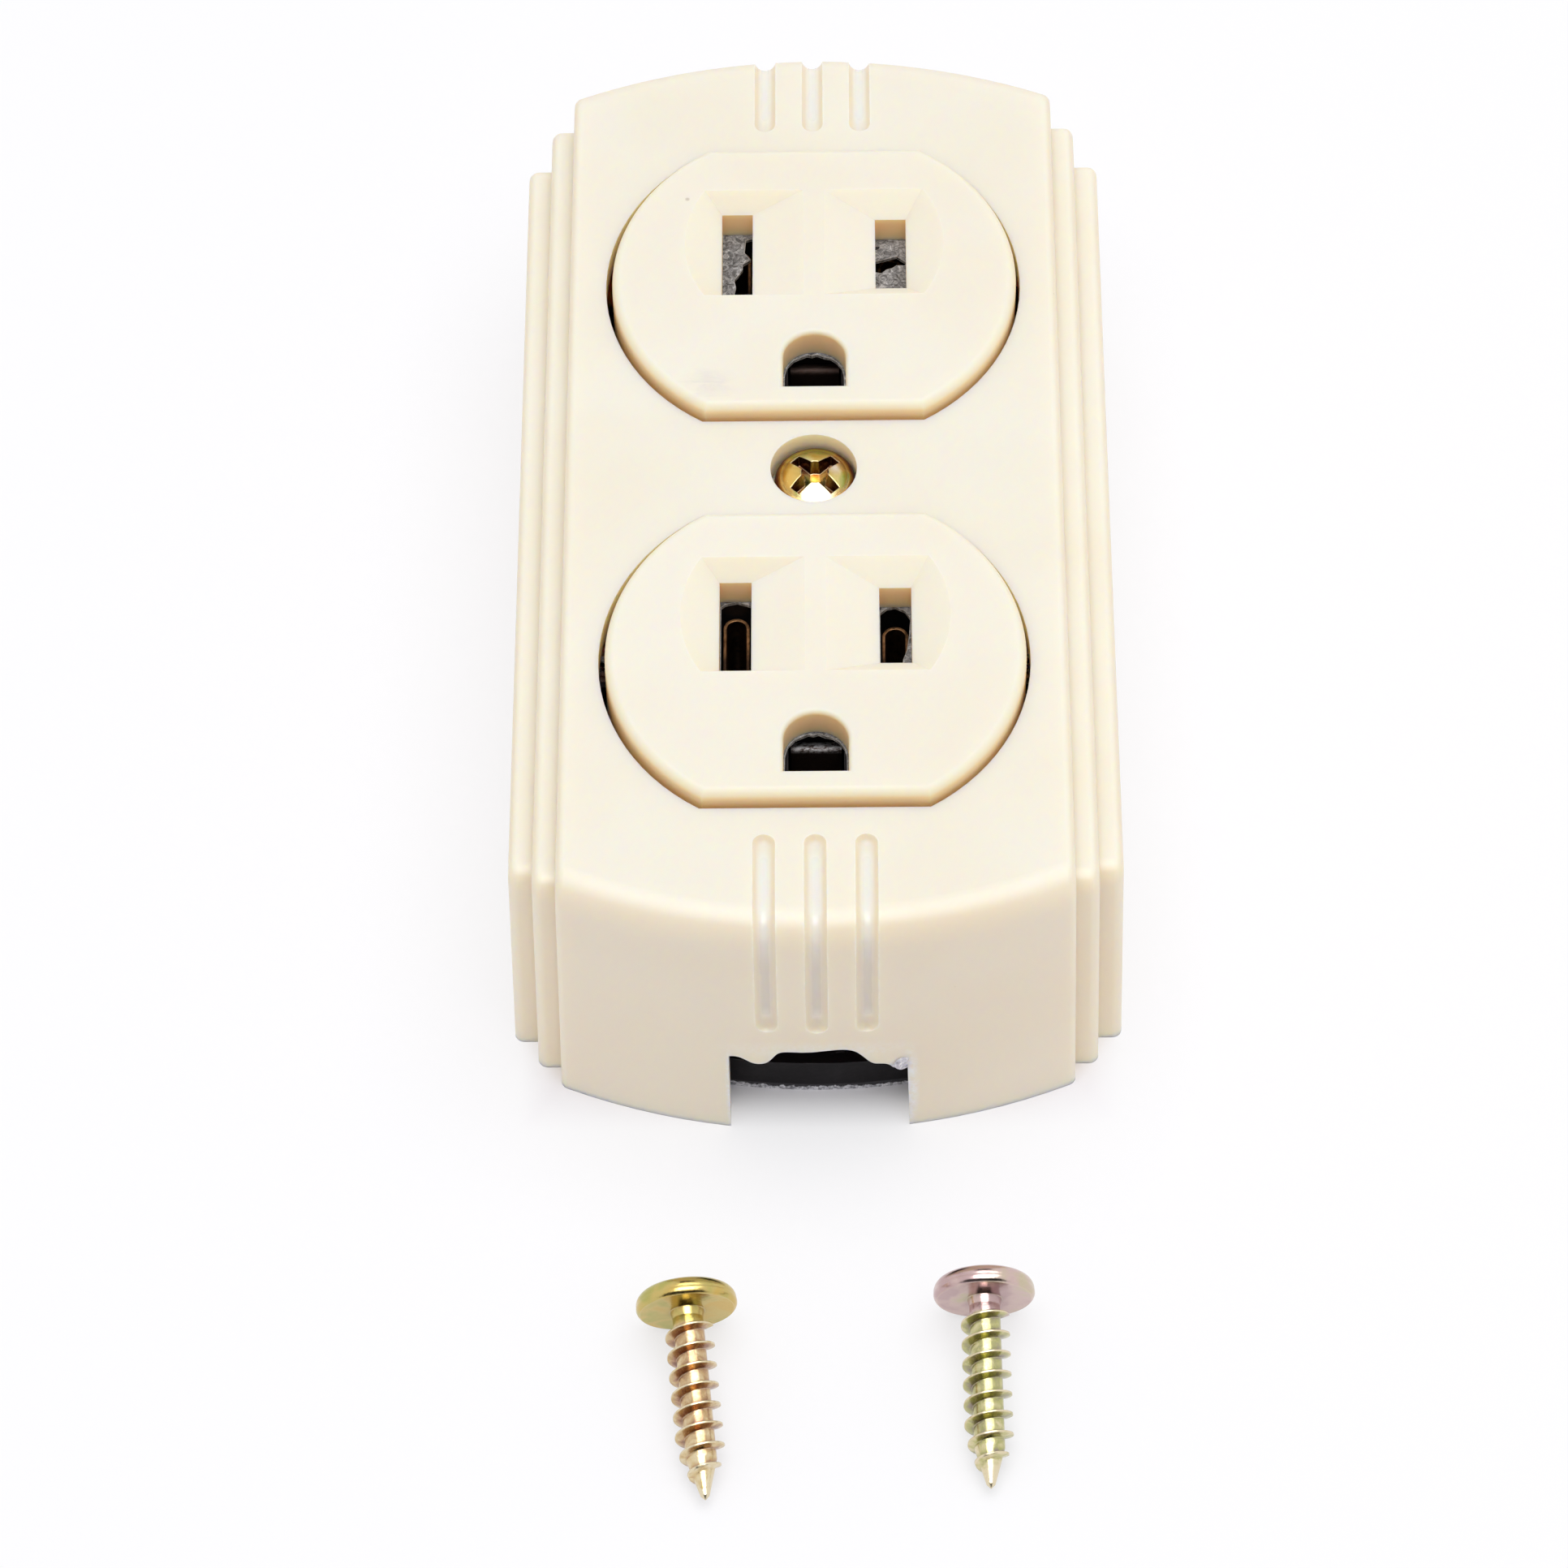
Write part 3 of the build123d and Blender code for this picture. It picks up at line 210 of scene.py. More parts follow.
class Finish:
    """Node tree of one finish, or of the world, laid down shader by shader."""

    def __init__(self, name, of_world=False):
        library = bpy.data.worlds if of_world else bpy.data.materials
        self.holder = library.new(name)
        self.holder.use_nodes = True
        self.tree = self.holder.node_tree
        self.tree.nodes.clear()
        self.column = 0

    def lay(self, kind, inputs=None, **settings):
        """Adds a shader node; an input is a plain value or another node's output."""
        made = self.tree.nodes.new("ShaderNode" + kind)
        made.location = (self.column, 0)
        self.column += NODE_SPACING
        for key, value in settings.items():
            setattr(made, key, value)
        for key, value in (inputs or {}).items():
            if isinstance(value, bpy.types.NodeSocket):
                self.tree.links.new(value, made.inputs[key])
            else:
                made.inputs[key].default_value = value
        return made

    def place(self):
        """Position on the piece, in metres."""
        return self.lay("TexCoord").outputs["Object"]

    def normal(self):
        """Direction in which the surface faces."""
        return self.lay("NewGeometry").outputs["Normal"]

    def stretched(self, place, scale, turn=0.0):
        """Position for streaks: turned about Z and scaled along each axis."""
        return self.lay("Mapping", {"Vector": place, "Rotation": (0, 0, turn),
                                    "Scale": scale}).outputs["Vector"]

    def clouds(self, place, size, detail=3.0, roughness=0.5, distortion=0.0):
        """Soft noise whose patches are about size metres across."""
        return self.lay("TexNoise", {
            "Vector": place, "Scale": 1 / size, "Detail": detail,
            "Roughness": roughness, "Distortion": distortion}).outputs["Fac"]

    def ramp(self, fac, stops):
        """Colour ramp from (position, colour) stops."""
        made = self.lay("ValToRGB", {"Fac": fac})
        elements = made.color_ramp.elements
        while len(elements) < len(stops):
            elements.new(0.5)
        for element, (position, colour) in zip(elements, stops):
            element.position = position
            element.color = (*colour, 1.0)
        return made.outputs["Color"]

    def span(self, value, low, high, new_low, new_high):
        """Maps low..high to new_low..new_high, without going past them."""
        return self.lay("MapRange", {"Value": value, "From Min": low, "From Max": high,
                                     "To Min": new_low, "To Max": new_high}).outputs["Result"]

    def blend(self, fac, first, second, mode="MIX"):
        """Mixes two colours."""
        made = self.lay("Mix", {0: fac}, data_type="RGBA", blend_type=mode)
        for key, value in ((6, first), (7, second)):
            if isinstance(value, bpy.types.NodeSocket):
                self.tree.links.new(value, made.inputs[key])
            else:
                made.inputs[key].default_value = (*value, 1.0)
        return made.outputs[2]

    def times(self, first, second):
        """Product of two values."""
        return self.lay("Math", {0: first, 1: second}, operation="MULTIPLY").outputs[0]

    def plus(self, first, second):
        """Sum of two values."""
        return self.lay("Math", {0: first, 1: second}, operation="ADD").outputs[0]

    def larger(self, first, second):
        """The larger of two values."""
        return self.lay("Math", {0: first, 1: second}, operation="MAXIMUM").outputs[0]

    def away(self, value):
        """Value without its sign."""
        return self.lay("Math", {0: value}, operation="ABSOLUTE").outputs[0]

    def axes(self, place):
        """The three coordinates of a position."""
        parts = self.lay("SeparateXYZ", {"Vector": place}).outputs
        return parts["X"], parts["Y"], parts["Z"]

    def spot(self, place, centre, reach, soft=0.6):
        """1 in the middle of an ellipsoid with the given half sizes, 0 from its skin outwards."""
        offset = self.lay("VectorMath", {0: place, 1: centre}, operation="SUBTRACT")
        scaled = self.lay("VectorMath", {0: offset.outputs["Vector"], 1: reach},
                          operation="DIVIDE")
        away = self.lay("VectorMath", {0: scaled.outputs["Vector"]},
                        operation="LENGTH").outputs["Value"]
        return self.span(away, 1.0 - soft, 1.0, 1.0, 0.0)

    def edges(self, radius, sharp=0.985):
        """1 along edges of the piece, 0 on its open surfaces."""
        agreement = self.lay("VectorMath", {0: self.soft_edges(radius), 1: self.normal()},
                             operation="DOT_PRODUCT").outputs["Value"]
        return self.span(agreement, sharp, 1.0, 1.0, 0.0)

    def soft_edges(self, radius):
        """Normal that turns smoothly round the edges of the piece."""
        return self.lay("Bevel", {"Radius": radius}, samples=4).outputs["Normal"]

    def openness(self, distance):
        """1 in the open, less down in hollows of about that size."""
        return self.lay("AmbientOcclusion", {"Distance": distance}, samples=6).outputs["AO"]

    def facing_up(self, low, high):
        """1 on surfaces that face up, 0 on walls."""
        return self.span(self.axes(self.normal())[2], low, high, 0.0, 1.0)

    def upright(self):
        """1 on upright walls, 0 on level surfaces."""
        return self.span(self.away(self.axes(self.normal())[2]), 0.3, 0.6, 1.0, 0.0)

    def wrapped(self, value, pitch):
        """Value repeated every pitch, from -pitch / 2 to pitch / 2."""
        return self.lay("Math", {0: value, 1: -pitch / 2, 2: pitch / 2},
                        operation="WRAP").outputs[0]

    def hollows(self, distance, low=0.35, high=0.9):
        """1 down in hollows of about that size, 0 in the open."""
        return self.span(self.openness(distance), low, high, 1.0, 0.0)

    def bump(self, height, distance, strength=1.0, under=None):
        """Bump of the given height in metres, on top of another normal if there is one."""
        inputs = {"Height": height, "Distance": distance, "Strength": strength}
        if under is not None:
            inputs["Normal"] = under
        return self.lay("Bump", inputs).outputs["Normal"]

    def done(self, **inputs):
        """Principled surface from the given sockets and values."""
        keys = {key.replace("_", " "): value for key, value in inputs.items()}
        surface = self.lay("BsdfPrincipled", keys)
        self.lay("OutputMaterial", {"Surface": surface.outputs["BSDF"]})
        return self.holder


def dress(material, *names):
    """Gives CAD nodes their finish."""
    for name in names:
        for held in nodes[name].material_slots:
            held.material = material


# ---------------------------------------------------------------------------
# Finishes


def ivory_skin(finish, place, moulding):
    """Tone, roughness and bump that both ivory mouldings share."""
    # Painted light and shade: surfaces that face up take the paler top tone, walls the darker side
    # tone.
    tone = finish.blend(finish.facing_up(0.72, 0.985),
                        tuple(moulding.ivory_painted_shaded_side), tuple(moulding.ivory_painted_lit_top))
    flow = finish.clouds(place, 22 * MM, detail=2.0, distortion=0.6)
    cloud = finish.ramp(flow, [(0.35, WHITE), (0.65, tuple(moulding.ivory_flow))])
    tone = finish.blend(1.0, tone, cloud, "MULTIPLY")
    specks = finish.lay("TexVoronoi", {"Vector": place, "Scale": 1 / (11 * MM)}).outputs["Distance"]
    tone = finish.blend(finish.span(specks, 0.009, 0.016, 0.5, 0.0), tone, (0.42, 0.33, 0.22))
    scuffs = finish.clouds(place, 1.6 * MM, detail=6.0, roughness=0.7)
    rubbed = finish.times(finish.edges(0.3 * MM, 0.96), finish.span(scuffs, 0.45, 0.62, 0.0, 0.5))
    tone = finish.blend(rubbed, tone, (0.95, 0.92, 0.84))
    # Painted shade and glow: down in gaps and holes the tone turns amber.
    painted_gap_glow_mask = finish.span(finish.openness(2.4 * MM), 0.1, 0.68, 1.0, 0.0)
    tone = finish.blend(painted_gap_glow_mask, tone, tuple(moulding.ivory_painted_gap_glow))
    rough = finish.span(scuffs, 0.3, 0.7, moulding.ivory_roughness - 0.05,
                        moulding.ivory_roughness + 0.07)
    waves = finish.clouds(place, 9 * MM, detail=1.0)
    grain = finish.clouds(place, 0.22 * MM, detail=2.0)
    skin = finish.bump(waves, 0.25 * MM, 0.16)
    return tone, rough, finish.bump(grain, 0.008 * MM, 0.35, skin)


def ivory_done(finish, moulding, tone, rough, skin):
    """Satin plastic that lets light in and glows amber where it is thin."""
    return finish.done(
        Base_Color=tone, Roughness=rough, Normal=skin, IOR=1.5, Specular_IOR_Level=0.3,
        Subsurface_Weight=0.8, Subsurface_Radius=(1.0, 0.75, 0.30),
        Subsurface_Scale=moulding.glow)


def cover_plastic(moulding):
    """Ivory cover: polished middles of the flutes with a painted highlight and painted shade along
    them, whitened plastic where the entry was torn.
    """
    finish = Finish("ivory_cover")
    place = finish.place()
    tone, rough, skin = ivory_skin(finish, place, moulding)
    across, along, up = finish.axes(place)
    centred = finish.plus(across, COVER_PLAY)
    nearest = finish.wrapped(centred, FLUTE_PITCH)
    middle = finish.span(finish.away(nearest), 0.15 * MM, 0.62 * MM, 1.0, 0.0)
    inner = finish.span(finish.away(centred), 1.3 * FLUTE_PITCH, 1.35 * FLUTE_PITCH, 1.0, 0.0)
    ends = finish.span(finish.away(along), 37.6 * MM, 38.6 * MM, 0.0, 1.0)
    high = finish.span(up, FLUTE_FOOT, FLUTE_FOOT + 0.8 * MM, 0.0, 1.0)
    flute_polish_and_painted_light = finish.times(finish.times(middle, inner), finish.times(ends, high))
    # Painted highlight and shade in the middles of the flutes: whitish at the foot, grey along the
    # wall, pale again near the top.
    painted_flute_light = finish.ramp(finish.span(up, FLUTE_FOOT, COVER_TOP, 0.0, 1.0), [
        (0.02, (0.97, 0.94, 0.88)), (0.13, (0.72, 0.67, 0.61)), (0.55, (0.74, 0.69, 0.63)),
        (0.85, (0.93, 0.91, 0.87))])
    tone = finish.blend(finish.times(flute_polish_and_painted_light, 0.55), tone, painted_flute_light)
    rough = finish.blend(flute_polish_and_painted_light, rough, (0.2, 0.2, 0.2))
    fray = finish.clouds(place, 0.45 * MM, detail=5.0, roughness=0.7)
    torn = finish.spot(place, (7.2 * MM, ENTRY_END, 5.2 * MM), (0.85 * MM, 2.6 * MM, 6.6 * MM))
    cut = finish.spot(place, (-7.1 * MM, ENTRY_END, 5.2 * MM), (0.4 * MM, 2.6 * MM, 6.6 * MM))
    lip = finish.spot(place, (0, ENTRY_END, 10.9 * MM), (8.6 * MM, 2.4 * MM, 1.5 * MM))
    white = finish.times(finish.larger(finish.larger(torn, cut), finish.times(lip, 0.55)),
                         finish.span(fray, 0.38, 0.6, 0.15, 0.9))
    tone = finish.blend(white, tone, (0.90, 0.87, 0.84))
    return ivory_done(finish, moulding, tone, rough, skin)


def face_plastic(moulding):
    """Ivory faces: painted amber shade on the rims and sloped lead-ins, a grey rub mark from a plug
    and a small dark spot.
    """
    finish = Finish("ivory_faces")
    place = finish.place()
    tone, rough, skin = ivory_skin(finish, place, moulding)
    level = finish.facing_up(0.2, 0.99)
    height = finish.axes(place)[2]
    slanted = finish.times(finish.span(level, 0.9, 1.0, 1.0, 0.0),
                           finish.span(height, 22 * MM, 25 * MM, 0.0, 1.0))
    # Painted shade: the steeper a surface of the rims and lead-ins slopes, the more amber its tone.
    amber = finish.ramp(level, [(0.0, (0.92, 0.66, 0.34)), (0.4, (0.90, 0.77, 0.56)),
                                (0.92, (0.87, 0.82, 0.68))])
    tone = finish.blend(finish.times(slanted, 0.8), tone, amber)
    rough = finish.plus(rough, finish.times(slanted, 0.3))
    drag = finish.stretched(place, (0.3, 1.0, 1.0), math.radians(35))
    smear = finish.clouds(drag, 0.9 * MM, detail=4.0, roughness=0.6, distortion=0.8)
    mark = finish.times(
        finish.spot(place, (-8.7 * MM, 7.9 * MM, FACE_TOP), (2.9 * MM, 2.0 * MM, 2 * MM), 0.9),
        finish.span(smear, 0.4, 0.62, 0.1, 0.6))
    tone = finish.blend(mark, tone, (0.72, 0.685, 0.66))
    dot = finish.spot(place, (-10.5 * MM, 27.9 * MM, FACE_TOP), (0.24 * MM, 0.24 * MM, 1 * MM))
    tone = finish.blend(finish.times(dot, 0.5), tone, (0.45, 0.36, 0.28))
    return ivory_done(finish, moulding, tone, rough, skin)


def black_moulding(moulding):
    """Dull black moulding with a little dust and pale scrapes."""
    finish = Finish("black_moulding")
    place = finish.place()
    dust = finish.clouds(place, 3 * MM, detail=8.0, roughness=0.75)
    tone = finish.blend(finish.span(dust, 0.58, 0.8, 0.0, 0.08),
                        tuple(moulding.black), (0.11, 0.105, 0.10))
    edge = finish.times(finish.edges(0.15 * MM, 0.93), finish.span(dust, 0.45, 0.62, 0.0, 0.4))
    tone = finish.blend(edge, tone, (0.13, 0.125, 0.13))
    drag = finish.stretched(place, (0.22, 1.0, 1.0))
    scrapes = finish.clouds(drag, 0.4 * MM, detail=6.0, roughness=0.7, distortion=0.5)
    tone = finish.blend(finish.span(scrapes, 0.66, 0.74, 0.0, 0.35), tone, (0.16, 0.155, 0.17))
    grain = finish.clouds(place, 0.3 * MM, detail=3.0)
    return finish.done(Base_Color=tone, Roughness=finish.span(dust, 0.3, 0.7, 0.5, 0.7),
                       Normal=finish.bump(grain, 0.02 * MM, 0.5), IOR=1.45,
                       Specular_IOR_Level=0.2)


def fibre_sheet(moulding):
    """Dark pressed-fibre sheet with a ragged painted highlight along its lower edge."""
    finish = Finish("fibre_sheet")
    place = finish.place()
    fibres = finish.clouds(finish.stretched(place, (1.0, 0.25, 1.0)), 0.5 * MM,
                           detail=6.0, roughness=0.7, distortion=1.2)
    tone = finish.ramp(fibres, [(0.3, tuple(0.6 * c for c in moulding.sheet)),
                                (0.7, tuple(2.2 * c for c in moulding.sheet))])
    ragged = finish.clouds(place, 0.8 * MM, detail=5.0, roughness=0.75)
    height = finish.plus(finish.axes(place)[2],
                         finish.span(ragged, 0.3, 0.7, -0.3 * MM, 0.3 * MM))
    lower = finish.span(height, 0.42 * MM, 0.52 * MM, 1.0, 0.0)
    edge = finish.times(lower, finish.upright())
    shreds = finish.clouds(place, 0.3 * MM, detail=4.0, roughness=0.7)
    # Painted highlight: a ragged pale line along the lower edge, where the sheet meets the table.
    pale = finish.ramp(shreds, [(0.38, (0.20, 0.20, 0.22)), (0.5, (0.55, 0.55, 0.60)),
                                (0.62, (0.86, 0.86, 0.90))])
    tone = finish.blend(edge, tone, pale)
    return finish.done(Base_Color=tone, Roughness=finish.span(fibres, 0.3, 0.7, 0.45, 0.65),
                       Normal=finish.bump(fibres, 0.03 * MM, 0.6), IOR=1.45,
                       Specular_IOR_Level=0.3)


def torn_liner(moulding):
    """Mottled grey liner, paler where it is torn."""
    finish = Finish("torn_liner")
    place = finish.place()
    blotches = finish.clouds(place, 0.55 * MM, detail=6.0, roughness=0.8, distortion=1.0)
    tone = finish.ramp(blotches, [(0.36, tuple(0.10 * c for c in moulding.liner)),
                                  (0.45, tuple(0.5 * c for c in moulding.liner)),
                                  (0.53, tuple(moulding.liner)),
                                  (0.64, (0.74, 0.76, 0.80))])
    tone = finish.blend(finish.edges(0.1 * MM, 0.9), tone, (0.70, 0.69, 0.68))
    return finish.done(Base_Color=tone, Roughness=finish.span(blotches, 0.3, 0.7, 0.45, 0.75),
                       Normal=finish.bump(blotches, 0.2 * MM, 0.8), IOR=1.45)


def zinc_done(finish, place, metal, tone):
    """Bright metal in the given tone, with a painted highlight along its edges and fine scratches.
    """
    # Painted highlight: the edges take the pale crest tone.
    tone = finish.blend(finish.times(finish.edges(0.1 * MM, 0.93), 0.6), tone,
                        tuple(metal.zinc_painted_highlight))
    scratches = finish.clouds(place, 0.25 * MM, detail=5.0, roughness=0.7)
    rounded = finish.soft_edges(metal.edge_round)
    return finish.done(Base_Color=tone, Metallic=1.0,
                       Roughness=finish.span(scratches, 0.35, 0.7, 0.13, 0.28),
                       Normal=finish.bump(scratches, 0.02 * MM, 0.4, rounded))


def lobed_zinc(metal, name, root):
    """Chromated zinc of the cover screw: gold head with green, amber and pale lobes, with painted
    reflection and a painted highlight among them, and painted shade in the driver recess.
    """
    finish = Finish(name)
    place = finish.place()
    drift = finish.clouds(place, 1.6 * MM, detail=2.0, roughness=0.5, distortion=0.6)
    tone = finish.ramp(drift, [(0.34, tuple(metal.zinc_gold)), (0.52, (0.66, 0.52, 0.20)),
                               (0.68, tuple(metal.zinc_green))])
    # Middle and half size in millimetres from the screw's axis, tone and share of each lobe. The
    # lobes paint chromate tints together with reflection, and the last one, on the near side, a
    # highlight.
    for centre, reach, colour, share in (
            ((-2.3, -0.5), (1.3, 1.9), (0.78, 0.46, 0.10), 0.75),
            ((-1.0, 1.3), (1.0, 0.9), (0.70, 0.76, 0.50), 0.8),
            ((0.2, 2.7), (2.2, 0.7), (0.34, 0.42, 0.10), 0.8),
            ((1.6, 0.9), (0.8, 1.2), (0.80, 0.68, 0.62), 0.7),
            ((0.2, -2.0), (1.7, 1.5), (0.92, 0.87, 0.76), 0.9)):
        lobe = finish.spot(place, (centre[0] * MM, centre[1] * MM, 26 * MM),
                           (reach[0] * MM, reach[1] * MM, 4 * MM), 0.7)
        tone = finish.blend(finish.times(lobe, share), tone, colour)
    # Painted shade: darker brown, then the root tone, down in the driver recess.
    painted_shade_depth = finish.plus(finish.openness(1.5 * MM), finish.span(drift, 0.3, 0.7, -0.12, 0.12))
    tone = finish.blend(finish.span(painted_shade_depth, 0.45, 0.8, 1.0, 0.0), tone, (0.34, 0.15, 0.05))
    tone = finish.blend(finish.span(painted_shade_depth, 0.25, 0.5, 1.0, 0.0), tone, root)
    return zinc_done(finish, place, metal, tone)


def threaded_zinc(metal, name, tones, head_level, head_tones):
    """Chromated zinc of a loose screw, tinted by how open its surface lies.

    The tones run from the thread's roots, darkened there as painted shade, to its crests, lightened
    there as a painted highlight. From head_level along Y the head has its own clouds of head_tones,
    and the first tone down in its corners as painted shade.
    """
    finish = Finish(name)
    place = finish.place()
    drift = finish.clouds(place, 1.1 * MM, detail=3.0, roughness=0.6, distortion=0.8)
    film_and_painted_light = finish.plus(finish.openness(1.5 * MM), finish.span(drift, 0.3, 0.7, -0.16, 0.16))
    # Painted shade and highlight: the ramp darkens the thread's roots and lightens its crests, with
    # chromate tints between.
    tone = finish.ramp(film_and_painted_light, list(zip((0.40, 0.54, 0.68, 0.82, 0.97), tones)))
    cloud = finish.clouds(place, 2.6 * MM, detail=2.0, distortion=0.6)
    plate = finish.ramp(cloud, list(zip((0.36, 0.52, 0.66), head_tones)))
    # Painted shade in the corners of the head.
    plate = finish.blend(finish.hollows(1.1 * MM, 0.2, 0.75), plate, tones[0])
    along = finish.axes(place)[1]
    head = finish.span(along, head_level - 0.1 * MM, head_level + 0.15 * MM, 0.0, 1.0)
    tone = finish.blend(head, tone, plate)
    return zinc_done(finish, place, metal, tone)


def worn_contact(metal, name, bright):
    """Tarnished spring strip whose far bends are rubbed bright."""
    finish = Finish(name)
    place = finish.place()
    along = finish.axes(place)[1]
    local = finish.wrapped(finish.plus(along, ROW_PITCH / 2), ROW_PITCH)
    rub = finish.clouds(place, 0.5 * MM, detail=5.0, roughness=0.75)
    bend = finish.span(local, 3.2 * MM, 6.2 * MM, 0.12, 1.0)
    lip = finish.plus(finish.times(finish.facing_up(0.3, 0.8), 0.8), 0.2)
    shine = finish.times(finish.times(bend, lip), finish.span(rub, 0.36, 0.6, 0.35, 1.0))
    tone = finish.blend(shine, tuple(metal.tarnish), bright)
    rounded = finish.soft_edges(metal.edge_round)
    return finish.done(Base_Color=tone, Metallic=1.0,
                       Roughness=finish.span(rub, 0.3, 0.7, 0.28, 0.5),
                       Normal=finish.bump(rub, 0.03 * MM, 0.5, rounded))


def scraped_contact_painted_highlight(metal, name, bright, share):
    """Tarnished pin contact, bright in scraped streaks on its surfaces that face up: a painted
    highlight.
    """
    finish = Finish(name)
    place = finish.place()
    drag = finish.stretched(place, (0.5, 1.0, 1.0))
    scrapes = finish.clouds(drag, 0.22 * MM, detail=6.0, roughness=0.8)
    lip = finish.facing_up(0.1, 0.7)
    # Painted highlight: the streaks are bright only where the surface faces up.
    shine = finish.times(finish.times(lip, share), finish.span(scrapes, 0.42, 0.56, 0.0, 1.0))
    tone = finish.blend(shine, tuple(metal.tarnish), bright)
    return finish.done(Base_Color=tone, Metallic=1.0,
                       Roughness=finish.span(scrapes, 0.3, 0.7, 0.45, 0.65),
                       Normal=finish.bump(scrapes, 0.05 * MM, 0.7))


def bare_metal(metal, name, colour, dark, shine):
    """Stamped or plated metal: brushed streaks, darker hollows and brighter edges."""
    finish = Finish(name)
    place = finish.place()
    streaks = finish.clouds(finish.stretched(place, (1.0, 0.12, 1.0)), 0.25 * MM,
                            detail=5.0, roughness=0.65)
    tarnish = finish.clouds(place, 3.5 * MM, detail=4.0, roughness=0.6)
    tone = finish.blend(finish.span(tarnish, 0.42, 0.7, 0.0, 0.6), colour, dark)
    tone = finish.blend(finish.hollows(1.2 * MM, 0.25, 0.8), tone, tuple(0.45 * c for c in dark))
    tone = finish.blend(finish.edges(metal.edge_round, 0.93), tone,
                        tuple(min(1.0, 1.2 * c) for c in colour))
    rounded = finish.soft_edges(metal.edge_round)
    return finish.done(Base_Color=tone, Metallic=1.0,
                       Roughness=finish.span(streaks, 0.3, 0.7, shine - 0.08, shine + 0.1),
                       Normal=finish.bump(streaks, 0.015 * MM, 0.5, rounded))


def frayed_plastic(moulding):
    """Stress-whitened shred of plastic, in patches of lavender grey."""
    finish = Finish("frayed_plastic")
    place = finish.place()
    fray = finish.clouds(place, 0.35 * MM, detail=5.0, roughness=0.7)
    tone = finish.ramp(fray, [(0.36, tuple(0.55 * c for c in moulding.frayed)),
                              (0.5, tuple(moulding.frayed)), (0.64, (0.90, 0.88, 0.86))])
    return finish.done(Base_Color=tone, Roughness=finish.span(fray, 0.3, 0.7, 0.3, 0.6),
                       Normal=finish.bump(fray, 0.08 * MM, 0.6), IOR=1.5,
                       Subsurface_Weight=0.5, Subsurface_Radius=(1.0, 0.8, 0.7),
                       Subsurface_Scale=0.4 * MM)


# ---------------------------------------------------------------------------
# Pieces


def shred(name, path, widths, seed):
    """Curled shred along a path of points, rough and flat, closed at both ends."""
    noise.seed_set(seed)
    points = [Vector(point) * MM for point in path]
    shape = bmesh.new()
    rings = []
    for index, (point, width) in enumerate(zip(points, widths)):
        before = points[max(index - 1, 0)]
        after = points[min(index + 1, len(points) - 1)]
        run = (after - before).normalized()
        across = Vector((0, 1, 0))
        out = run.cross(across).normalized()
        ring = []
        for side in range(SHRED_SIDES):
            turn = 2 * math.pi * side / SHRED_SIDES
            place = (point + out * (width * MM * math.cos(turn))
                     + across * (width * SHRED_FLATNESS * MM * math.sin(turn)))
            grain = noise.noise_vector(place * SHRED_GRAIN + Vector((seed, 0, 0)))
            place += grain * (SHRED_RAGGED * width * MM)
            ring.append(shape.verts.new(place))
        rings.append(ring)
    for first, second in zip(rings, rings[1:]):
        for side in range(SHRED_SIDES):
            follow = (side + 1) % SHRED_SIDES
            shape.faces.new((first[side], first[follow], second[follow], second[side]))
    shape.faces.new(reversed(rings[0]))
    shape.faces.new(rings[-1])
    bmesh.ops.recalc_face_normals(shape, faces=shape.faces)
    mesh = bpy.data.meshes.new(name)
    shape.to_mesh(mesh)
    shape.free()
    for face in mesh.polygons:
        face.use_smooth = True
    piece = bpy.data.objects.new(name, mesh)
    bpy.context.scene.collection.objects.link(piece)
    smooth = piece.modifiers.new("smooth", "SUBSURF")
    smooth.levels = smooth.render_levels = 2
    return piece


# ---------------------------------------------------------------------------
# Operators


class OUTLET_OT_ivory_parts(bpy.types.Operator):
    """Give the cover and the two faces their satin ivory plastic"""

    bl_idname = "outlet.ivory_parts"
    bl_label = "Ivory Parts"

    def execute(self, context):
        moulding = context.scene.outlet_moulding
        dress(cover_plastic(moulding), "cover")
        dress(face_plastic(moulding), "receptacle_front")
        return {"FINISHED"}


class OUTLET_OT_torn_entry(bpy.types.Operator):
    """Hang the curled shreds of plastic from the torn cable entry"""

    bl_idname = "outlet.torn_entry"
    bl_label = "Torn Entry"

    def execute(self, context):
        frayed = frayed_plastic(context.scene.outlet_moulding)
        for name, path, widths in SHREDS:
            piece = shred(name, path, widths, len(path))
            piece.data.materials.append(frayed)
            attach(piece, "cover")
        return {"FINISHED"}


class OUTLET_OT_black_base(bpy.types.Operator):
    """Give the base and the contact housings dull black plastic, and the sheet its dark fibre"""

    bl_idname = "outlet.black_base"
    bl_label = "Black Base"

    def execute(self, context):
        moulding = context.scene.outlet_moulding
        dress(black_moulding(moulding), "base", "contact_housing_upper", "contact_housing_lower")
        dress(fibre_sheet(moulding), "insulating_sheet")
        return {"FINISHED"}


class OUTLET_OT_liners(bpy.types.Operator):
    """Give the pierced liners behind the slots their mottled grey"""

    bl_idname = "outlet.liners"
    bl_label = "Liners"

    def execute(self, context):
        dress(torn_liner(context.scene.outlet_moulding), "slot_liner_upper", "slot_liner_lower")
        return {"FINISHED"}


